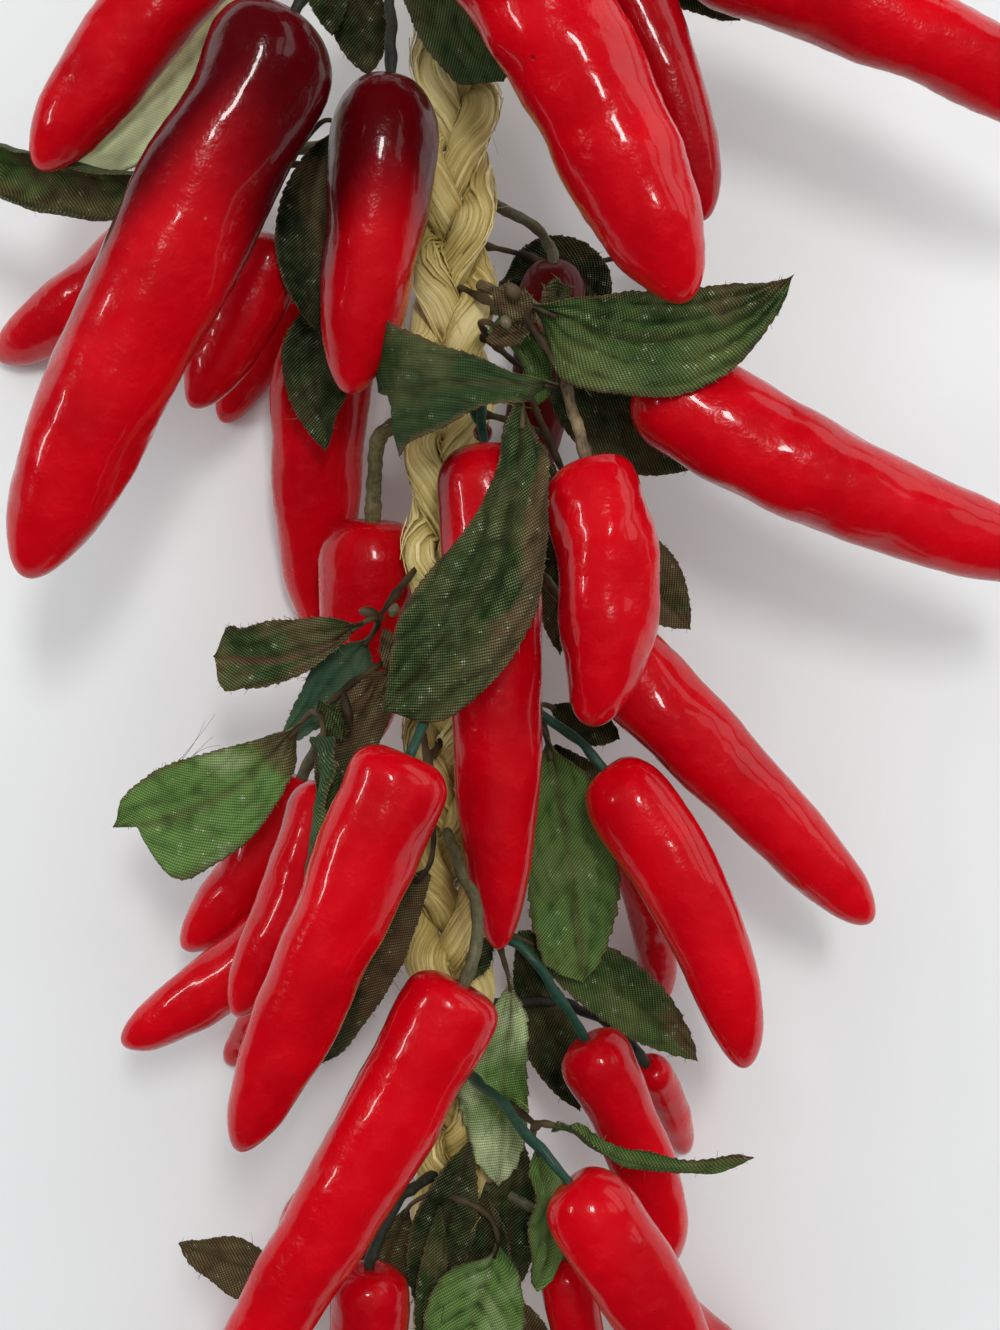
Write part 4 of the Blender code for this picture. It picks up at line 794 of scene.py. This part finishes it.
def clothGroup():  # ribbed cloth: sine of the warp, crossed by a finer sine of the weft, both lengths in mm
    w, given, out = newGroup("clothWeave", {"Warp": 0.0, "Weft": 0.0, "Pitch": 0.62}, ["Height", "Thread"])
    turn = 6.2832
    ribs = w.math("SINE", w.math("DIVIDE", w.times(given["Warp"], turn), given["Pitch"]))
    cross = w.math("SINE", w.math("DIVIDE", w.times(given["Weft"], turn), w.times(given["Pitch"], 0.8)))
    both = w.plus(w.times(ribs, 0.42), w.times(w.times(ribs, cross), 0.30))
    height = w.span(w.plus(both, w.times(cross, 0.28)), -1.0, 1.0)
    w.feed(out["Height"], height)
    w.feed(out["Thread"], w.span(height, 0.25, 0.75))
    return w.tree


# leaf colours: pale is painted light that makes a leaf look lit (the first leaf of spray 05); the thread and glint
# colours are painted highlights; dark also serves as painted shade in the fold valleys and weave gaps
leafColours = {"dark": (0.007, 0.014, 0.003), "mid": (0.026, 0.058, 0.011), "light": (0.150, 0.300, 0.065),
               "pale": (0.86, 1.0, 0.55), "brown": (0.145, 0.072, 0.038), "teal": (0.030, 0.085, 0.055),
               "thread": (0.20, 0.27, 0.10), "glint": (0.66, 0.72, 0.54)}


def leafFinish():
    # green cloth by tone, brown towards the edge and along the rib, painted shade in the gaps between the threads and
    # in the fold valleys, painted highlights on the threads and painted glints on the fold crests
    finish, w, shader = newFinish("leafCloth")
    weave = w.group(clothGroup(), Warp=w.mark("warp"), Weft=w.mark("weft"))
    mark = {key: w.mark(key) for key in "tone brown edge rib midrib back teal smooth relief".split()}
    place = w.place()
    drift = w.group(slowDrift, Place=place, Size=60.0)
    cloud, fine = drift["Drift"], drift["Fine"]
    tone = w.plus(mark["tone"], w.span(cloud, 0.3, 0.7, -0.2, 0.2))
    inner = w.minus(w.span(fine, 0.3, 0.7, 0.96, 0.80), w.times(mark["brown"], 0.10))
    rim = w.times(w.span(mark["edge"], inner, 1.0), 0.85)
    ribStreak = w.times(w.span(mark["rib"], 1.6, 0.2), mark["midrib"])
    stained = w.plus(cloud, w.times(mark["brown"], 0.18))
    patch = w.times(w.span(stained, 0.52, 0.66), w.span(mark["brown"], 0.05, 0.7, 0.0, 0.85))
    brown = w.most(w.most(rim, ribStreak), patch)
    teal = w.times(w.most(w.times(mark["back"], 0.5), mark["teal"]), 0.7)
    woven = w.span(mark["smooth"], 0.0, 1.0, 1.0, 0.3)
    # painted shade in the weave gaps between the threads
    gap = w.times(w.minus(1.0, weave["Thread"]), w.times(woven, 0.72))
    # painted light: threads and glints are made brighter on the fold crests
    crest = w.span(mark["relief"], -0.5, 0.35, 0.25, 1.0)
    lit = w.times(w.times(w.span(weave["Thread"], 0.45, 1.0), woven), crest)
    glint = w.times(w.group(specks, Place=place, Scale=560.0, Share=0.34, Width=0.40)["Mask"], lit)
    colour = w.layers(leafColours["dark"], (w.span(tone, 0.0, 0.5), leafColours["mid"]),
                      (w.span(tone, 0.5, 1.0), leafColours["light"]),
                      (w.span(tone, 1.15, 1.5), leafColours["pale"]),
                      (brown, leafColours["brown"]), (teal, leafColours["teal"]),
                      # painted shade: the fold valleys darkened towards the dark colour
                      (w.span(mark["relief"], 0.10, -0.85, 0.0, 0.60), leafColours["dark"]),
                      (gap, tuple(0.25 * c for c in leafColours["dark"])),
                      # painted highlights: lighter threads, most on the fold crests, and pale glint specks on them
                      (w.times(lit, w.span(fine, 0.38, 0.66, 0.12, 0.68)), leafColours["thread"]),
                      (w.times(glint, w.span(fine, 0.44, 0.60, 0.0, 0.9)), leafColours["glint"]))
    rough = w.span(weave["Height"], 0.0, 1.0, 0.75, 0.48)
    w.surface(shader, colour, rough, w.times(weave["Height"], woven), 0.8, 0.00020)
    shader.inputs["Specular IOR Level"].default_value = 0.14
    return finish


def plainFinish(name, dark, light, rough, specular=0.4, size=90.0):  # two tones that drift, with a fine bump
    finish, w, shader = newFinish(name)
    drift = w.group(slowDrift, Place=w.place(), Size=size)
    w.surface(shader, w.layers(dark, (w.span(drift["Drift"], 0.35, 0.65), light)),
              w.span(drift["Fine"], 0.3, 0.7, rough * 0.85, rough * 1.15), drift["Fine"], 0.3, 0.0002)
    shader.inputs["Specular IOR Level"].default_value = specular
    return finish


def budShell(place, way, wide, long, finish):  # small closed pod: place + way long t, radius wide sin(pi t)^0.6
    t = np.linspace(0, 1, 22)[1:-1]
    way = unit(np.array(way, float)) * long * mm
    tube = tubeAround(place + way * t[:, None], wide * mm * np.sin(math.pi * t) ** 0.6, 18, (0, 0.1, 1.0))
    return shell(tube, place, place + way, finish=finish, tone=0.5)


# pods by their spray: offset from the stalk's fork in mm, way, half width, length, finish number

podSet = {"01": [((-8.4, 5.4, 1.5), (0.3, -1, 0.3), 1.25, 3.6, 3), ((-5.0, 8.5, 2.0), (-0.6, 0.8, 0.3), 1.5, 4.5, 2)],
          "03": [((-15.5, 3, -4.5), (0.5, -1, 0.5), 2.2, 5.0, 4), ((-17.5, 8, -5.5), (0.4, -1, 0.2), 1.0, 6.0, 5)],
          "08": [((4.5, 3.5, 3.0), (-0.4, -1, 0.3), 1.2, 3.6, 3), ((0.5, 1.0, 2.0), (-1, 0.2, 0.3), 1.3, 5.0, 2)],
          "09": [((6.0, 5.0, 2.0), (0.2, -1, 0.0), 1.1, 9.0, 2)]}

# small leaves and crumpled scraps round a fork: start and end from the fork in mm, half width in mm, look

scrapSet = {
    "01": [((-1.0, 4.0, 0.5), (-11.0, 11.5, 1.0), 3.6, {"tone": 0.45, "brown": 1.0, "wave": 1.4, "crease": 0.8}),
           ((-2.5, 2.0, 0.0), (-12.5, 1.0, -3.0), 2.6, {"tone": 0.2, "brown": 0.9, "wave": 1.2, "crease": 0.6}),
           ((0.0, 7.0, -1.0), (6.0, 14.0, -6.0), 3.0, {"tone": 0.3, "brown": 0.8, "wave": 1.2, "crease": 0.6})],
    "03": [((2.0, -3.0, -22.0), (4.0, -50.0, -26.0), 6.0, {"tone": 0.12, "brown": 0.5})],
    "05": [((14.0, 1.0, -12.0), (19.0, -27.0, -11.0), 6.5, {"tone": 0.15, "brown": 0.4})],
    "08": [((1.0, -2.0, -1.0), (7.0, -14.0, -2.0), 3.4, {"tone": 0.15, "brown": 1.0, "wave": 1.2, "crease": 0.7})],
    "09": [((0.0, 3.0, 0.5), (6.0, -6.0, 1.5), 2.6, {"tone": 0.6, "brown": 0.8, "wave": 1.0, "crease": 0.6})],
    "11": [((3.0, -6.0, -18.0), (26.0, -40.0, -24.0), 8.0, {"tone": 0.08, "brown": 0.4})],
    "12": [((-2.0, 2.0, 1.0), (-7.0, -9.0, 2.0), 2.8, {"tone": 0.3, "brown": 0.6, "wave": 1.2, "crease": 0.6}),
           ((4.0, -4.0, -20.0), (20.0, -46.0, -22.0), 7.0, {"tone": 0.10, "brown": 0.3})],
    "13": [((-15.0, -6.0, -9.5), (-27.0, -46.0, -10.0), 7.0, {"tone": 0.12, "brown": 0.3}),
           ((-4.0, -4.0, -13.5), (-7.0, -46.0, -13.5), 6.2, {"tone": 0.14, "brown": 0.3})],
    "14": [((5.0, 2.0, -1.5), (7.0, -26.0, -1.5), 5.0, {"tone": 0.15, "brown": 0.4}),
           ((-5.0, 0.0, 1.0), (-9.0, -38.0, 1.5), 3.4, {"tone": 0.55, "brown": 0.5, "wave": 0.8, "crease": 0.4})],
}


def scrapRings(start, end, half):  # five rings of a small blade: two edge points, and two round its middle line
    t = np.array([0.02, 0.25, 0.5, 0.75, 0.93])[:, None]
    line = start + (end - start) * t
    side = unit(np.cross((0, 0, 1.0), end - start))
    wide = half * mm * np.sin(math.pi * np.clip(t, 0.06, 0.95)) ** 0.7
    up = np.array([0, 0, 0.2 * mm])
    return np.stack([line + side * wide + up * 4, line - up, line - side * wide + up * 4, line + up], 1)


def strandRings(name):  # rings of a strand from its foot up, without the two end points
    rings = ringsOf(name)[1:-1]
    return rings if rings[0][0, 1] < rings[-1][0, 1] else rings[::-1]


def braidMiddle():  # middle line of the three strands together
    lines = [middles(strandRings("strand_" + k)) for k in "abc"]
    y = np.linspace(-0.20, 0.20, 161)
    return np.stack([sum(np.interp(y, l[:, 1], l[:, k]) for l in lines) / 3 for k in range(3)], 1)


def buildSprays():
    cloth = leafFinish()
    fray = plainFinish("frayedThread", (0.05, 0.035, 0.02), (0.16, 0.20, 0.09), 0.7)
    twig = plainFinish("oliveTwig", (0.020, 0.013, 0.007), (0.090, 0.064, 0.030), 0.55, 0.2, 130.0)
    pods = [plainFinish("paleBud", (0.055, 0.055, 0.026), (0.15, 0.13, 0.07), 0.35, 0.4, 200.0),
            lacquerFinish("darkBud", 0.30),
            plainFinish("tealWire", (0.004, 0.036, 0.020), (0.009, 0.085, 0.046), 0.3, 0.5)]
    ways = {"right": (1, 0, 0), "left": (-1, 0, 0), "up": (0, 1, 0), "down": (0, -1, 0)}
    braid = braidMiddle()
    for key, (first, climb, *looks) in sprayLooks.items():
        node, number = "spray_" + key, int(key)
        rings = ringsOf(node)
        if first:
            turned = np.dot(rings[0][0] - rings[-1][0], ways[first]) < 0
        else:
            turned = len(rings[1]) == 4 and girths(rings[2:3])[0] < girths(rings[-3:-2])[0]
        rings = rings[::-1] if turned else rings
        shells, fork = [], middles(rings[5:10] if first else rings[5:8])
        for k, look in enumerate(looks):
            leafRings, tip = (rings[9:14], rings[14][0]) if k else (rings[5:0:-1], rings[0][0])
            made, middle = leafShells(np.array(leafRings), tip, look, 1000 + 10 * number + k)
            shells += made
            fork = np.vstack([fork, middle[3:11:4]] if k else [middle[10:2:-4], fork])
        shells.append(stalkShell(fork, "join", 2000 + number))
        heart = resample(fork, 3)[1] if first else fork[-1]
        goal = heart + np.array([0, climb * mm, 0])
        way = braid[np.argmin(np.linalg.norm(braid - goal, axis=1))] - heart
        t = np.linspace(0, 1.0, 9)[:, None]
        path = heart + way * t + np.array(stalkSet["bow"]) * np.linalg.norm(way) * t * (1 - t)
        path[:, 2] = np.maximum(path[:, 2], stalkSet["lowest"] * mm)
        shells.append(stalkShell(path, "climb", 2100 + number))
        for k, (start, end, half, look) in enumerate(scrapSet.get(key, [])):
            start, end = heart + np.array(start) * mm, heart + np.array(end) * mm
            shells += leafShells(scrapRings(start, end, half), end, look, 3000 + 10 * number + k)[0]
        shells += [budShell(heart + np.array(offset) * mm, *rest) for offset, *rest in podSet.get(key, [])]
        addPiece(node + "_cloth", shells, [cloth, fray, twig] + (pods if key in podSet else []), [node])
    print("sprays built:", len(sprayLooks))


# braid: three flat bundles of raffia fibres, looser straws on them, a brush at the foot

strandSet = {"rows": 420, "around": 168, "fibres": 50, "tones": 97, "wider": 1.36, "thick": 3.213, "ridge": 0.17,
             "straws": 102, "strays": 40}


def strandShells(name, seed):
    # point = line(t) + k(t, a) (wide cos a + deep sin a), k = 1 + ridge sin^2(pi fibre) + slow lumps,
    # fibre = count (a / 2 pi + drift(t))
    r = np.random.default_rng(seed)
    rings, rows, fibres = strandRings(name), strandSet["rows"], strandSet["fibres"]
    line = middles(rings)
    spread = np.array([x - x.mean(0) for x in rings])
    wide = np.array([np.linalg.eigh(x.T @ x)[1][:, -1] for x in spread])
    half = np.abs(np.einsum("kij,kj->ki", spread, wide)).max(1)
    flat = unit(np.cross(unit(np.gradient(line, axis=0)), (0, 0, 1.0)))
    wide = unit(0.55 * wide * np.where(np.sum(wide * flat, 1) < 0, -1, 1)[:, None] + 0.45 * flat)
    far = travel(line)
    t = np.linspace(0, far[-1], rows)
    middle = through(far, line, t)
    run = unit(np.gradient(middle, axis=0))
    wide = squareTo(run, through(far, wide, t))
    deep, broad, thin = np.cross(wide, run), through(far, half, t) * strandSet["wider"], strandSet["thick"] * mm
    a, t = angles(strandSet["around"]), t / mm
    drift = 0.10 * np.sin(t / 23 + r.uniform(0, 6)) + 0.05 * np.sin(t / 9 + r.uniform(0, 6))
    fibre = fibres * (a / (2 * math.pi) + drift[:, None])
    number = np.floor(fibre).astype(int) % fibres
    ridge = strandSet["ridge"] * r.uniform(0.4, 1.3, strandSet["tones"])[number] * np.sin(math.pi * fibre) ** 2
    ball = wide[:, None] * (broad[:, None] * np.cos(a))[..., None] + deep[:, None] * (thin * np.sin(a))[:, None]
    grid = middle[:, None] + ball
    lump = wander(grid, 9 * mm, seed + 1) * 0.30 + wander(grid, 26 * mm, seed + 2) * 0.35
    grid = grid + unit(ball) * ((ridge + lump - 0.15) * mm)[..., None]
    shells = [shell(grid, u=t, tone=r.random(strandSet["tones"])[number], fibre=fibre, run=t[:, None])]
    shells.append(strawShell(middle, wide, deep, broad, thin, far[-1], r))
    # strays: thin hairs that leave the braid
    count = strandSet["strays"]
    row = r.integers(20, rows - 20, count)
    way = run[row] * r.choice([-1, 1], (count, 1)) + wide[row] * r.normal(0, 0.6, (count, 1)) + np.array([0, 0, 0.35])
    root = middle[row] + unit(ball[row, 20]) * 2.0 * mm
    shells.append(hairShell(root, unit(way), r.uniform(6, 22, count) * mm, 0.09 * mm, r, 0, rows=9))
    return shells, middle, wide, deep


def strawShell(middle, wide, deep, broad, thin, far, r):
    # straws: flat ribbons that follow the bundle just above it and lift a little at their ends
    count, rows = strandSet["straws"], len(middle)
    start, long = r.uniform(0, far - 60 * mm, count), r.uniform(14, 52, count) * mm
    s = np.linspace(0, 1, 14)
    at = start[:, None] + long[:, None] * s
    turn = r.uniform(0, 2 * math.pi, count)[:, None] + r.normal(0, 0.35, (count, 1)) * s
    row = np.clip(at / far * (rows - 1), 0, rows - 1)
    middle, wide, deep, broad = (through(np.arange(rows), values, row) for values in (middle, wide, deep, broad))
    lift = 1.06 + 0.25 * np.abs(2 * s - 1) ** 6 * r.uniform(0.0, 1.0, (count, 1))
    out = unit(wide) * (np.cos(turn) * broad * lift)[..., None] + unit(deep) * (np.sin(turn) * thin * lift)[..., None]
    face = unit(out)
    path = middle + out + face * 0.18 * mm
    side = unit(np.cross(unit(np.gradient(path, axis=1)), face))
    ribbon = r.uniform(0.25, 0.75, (count, 1)) * mm * (1 - 0.8 * np.abs(2 * s - 1) ** 4)
    tubes = tubesAround(path, side, face, ribbon[..., None, None], 0.13 * mm, 6)
    return shell(tubes, tone=r.random(count), fibre=r.random(count) * 30, run=(at / mm)[..., None])


brushSet = {"count": 70, "wide": 3.4, "deep": 2.6, "fibreWide": 0.42, "fibreDeep": 0.22}


def brushShell(place, tip, wide, deep, seed):  # cut fibres that fan out from a strand's end
    r, count = np.random.default_rng(seed), brushSet["count"]
    way, long = unit(tip - place), np.linalg.norm(tip - place)
    spot = np.sqrt(r.random(count)) * mm
    turn = r.uniform(0, 2 * math.pi, count)
    off = (wide * (np.cos(turn) * spot * brushSet["wide"])[:, None]
           + deep * (np.sin(turn) * spot * brushSet["deep"])[:, None])
    s = np.linspace(0, 1, 8)[None, :, None]
    size = r.uniform(0.72, 1.0, (count, 1, 1)) * long
    fan = (wide * r.normal(0, 0.07, (count, 1)) + deep * r.normal(0, 0.05, (count, 1)))[:, None]
    line = place + off[:, None] * (1 + 0.6 * s) + way * s * size + fan * s ** 2 * size
    run = unit(np.gradient(line, axis=1))
    side = unit(np.cross(run, deep))
    tubes = tubesAround(line, side, np.cross(side, run), brushSet["fibreWide"] * mm, brushSet["fibreDeep"] * mm, 5)
    return shell(tubes, tone=r.random(count), fibre=r.random(count) * 30, run=s * long / mm)


raffiaColours = {"dark": (0.24, 0.16, 0.040), "straw": (0.58, 0.455, 0.138), "pale": (0.92, 0.80, 0.385)}


def raffiaFinish():  # raffia: tone per fibre, streaks along it, silky gloss
    finish, w, shader = newFinish("raffiaFibre")
    streak, drift = fibreStreak(w), w.group(slowDrift, Place=w.place(), Size=45.0)
    shade = w.plus(w.plus(w.times(streak, 0.80), w.times(w.mark("tone"), 0.18)), 0.06)
    shade = w.plus(shade, w.span(drift["Drift"], 0.3, 0.7, -0.14, 0.10))
    colour = w.layers(raffiaColours["dark"], (w.span(shade, 0.24, 0.48), raffiaColours["straw"]),
                      (w.span(shade, 0.48, 0.72), raffiaColours["pale"]))
    w.surface(shader, colour, w.span(streak, 0.3, 0.7, 0.48, 0.32), streak, 0.7, 0.00025)
    shader.inputs["Specular IOR Level"].default_value = 0.5
    return finish


def twineShells(line, thick, seed):  # two plies wound round each other: line + thick/2 (cos, sin)(0.55 x length)
    path = resample(line, max(60, int(travel(line)[-1] / mm * 1.6)))
    level, around, shells = levelOf(path), 12, []
    _, side, up = framesOf(path, level)
    far = travel(path) / mm
    for k in range(2):
        turn, apart = far * 0.55 + math.pi * k, thick * 0.46 * mm
        ply = path + side * (np.cos(turn) * apart)[:, None] + up * (np.sin(turn) * apart)[:, None]
        size = thick * 0.54 * mm * (1 + 0.08 * wander(ply, 3 * mm, seed + k))
        shells.append(shell(tubeAround(ply, size, around, level), tone=0.3 + 0.4 * k,
                            fibre=np.arange(around)[None] * 0.8 + k * 9, run=far[:, None]))
    return shells


tieSet = {"turns": 3, "step": 1.45, "thick": 0.95, "inset": 1.3}


def tieShells(name, seed):  # turns of twine side by side, each a flattened ring: (x, z) = sign(c) |c|^0.75
    low, high = (np.array(v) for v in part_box(name))
    heart, half = (low + high) / 2, (high - low) / 2 - tieSet["inset"] * mm
    a, r, shells = angles(72), np.random.default_rng(seed), []
    flat = [np.sign(c) * np.abs(c) ** 0.75 for c in (np.cos(a), np.sin(a))]
    thick = tieSet["thick"] * mm * (1 + 0.12 * np.abs(np.sin(a[:, None] * 18 + angles(10) / 2)))[None, ..., None]
    for k in range(tieSet["turns"]):
        y = (k - (tieSet["turns"] - 1) / 2) * tieSet["step"] * mm + 0.4 * mm * np.sin(a + r.uniform(0, 6))
        line = np.stack([half[0] * flat[0], y, half[2] * flat[1]], 1) + heart
        run = unit(np.roll(line, -1, 0) - np.roll(line, 1, 0))
        side = unit(np.cross(run, (0, 1.0, 0)))
        grid = tubesAround(line[None], side[None], np.cross(side, run)[None], thick, thick, 10)
        shells.append(shell(grid, looped=True, tone=0.35, fibre=3.0, run=a[:, None] * 16))
    return shells


def buildBraid():
    raffia = raffiaFinish()
    for k, letter in enumerate("abc"):
        node = "strand_" + letter
        shells, middle, wide, deep = strandShells(node, 500 + 10 * k)
        foot = int(0.085 * len(middle))
        shells.append(brushShell(middle[foot], middle[0], wide[foot], deep[foot], 560 + k))
        addPiece(node + "_raffia", shells, [raffia], [node])
    loopEnd = ringsOf("hanging_loop", lambda p: np.argsort(p[:, 1] + 4.0 * (p[:, 0] > p[:, 0].mean()))[:6])
    addPiece("hanging_loop_twine", twineShells(middles(loopEnd), 1.62, 580), [raffia], ["hanging_loop"])
    for k, node in enumerate(("tie_top", "tie_foot")):
        addPiece(node + "_twine", tieShells(node, 590 + k), [raffia], [node])
    print("braid built")


# floor: a pale cloth ground

floorSet = {"half": 3.0, "height": -0.0002, "low": (0.76, 0.788, 0.796), "high": (0.82, 0.842, 0.846), "rough": 0.85}


def addFloor():
    mesh = bpy.data.meshes.new("floor")
    half, z = floorSet["half"], floorSet["height"]
    mesh.from_pydata([(-half, -half, z), (half, -half, z), (half, half, z), (-half, half, z)], [], [(0, 1, 2, 3)])
    floor = bpy.data.objects.new("floor", mesh)
    bpy.context.scene.collection.objects.link(floor)
    finish, w, shader = newFinish("paleCloth")
    drift = w.group(slowDrift, Place=w.place(), Size=9.0)
    w.surface(shader, w.layers(floorSet["low"], (drift["Drift"], floorSet["high"])), floorSet["rough"])
    mesh.materials.append(finish)


addCamera()
addLights()
addFloor()
buildChillies()
buildSprays()
buildBraid()
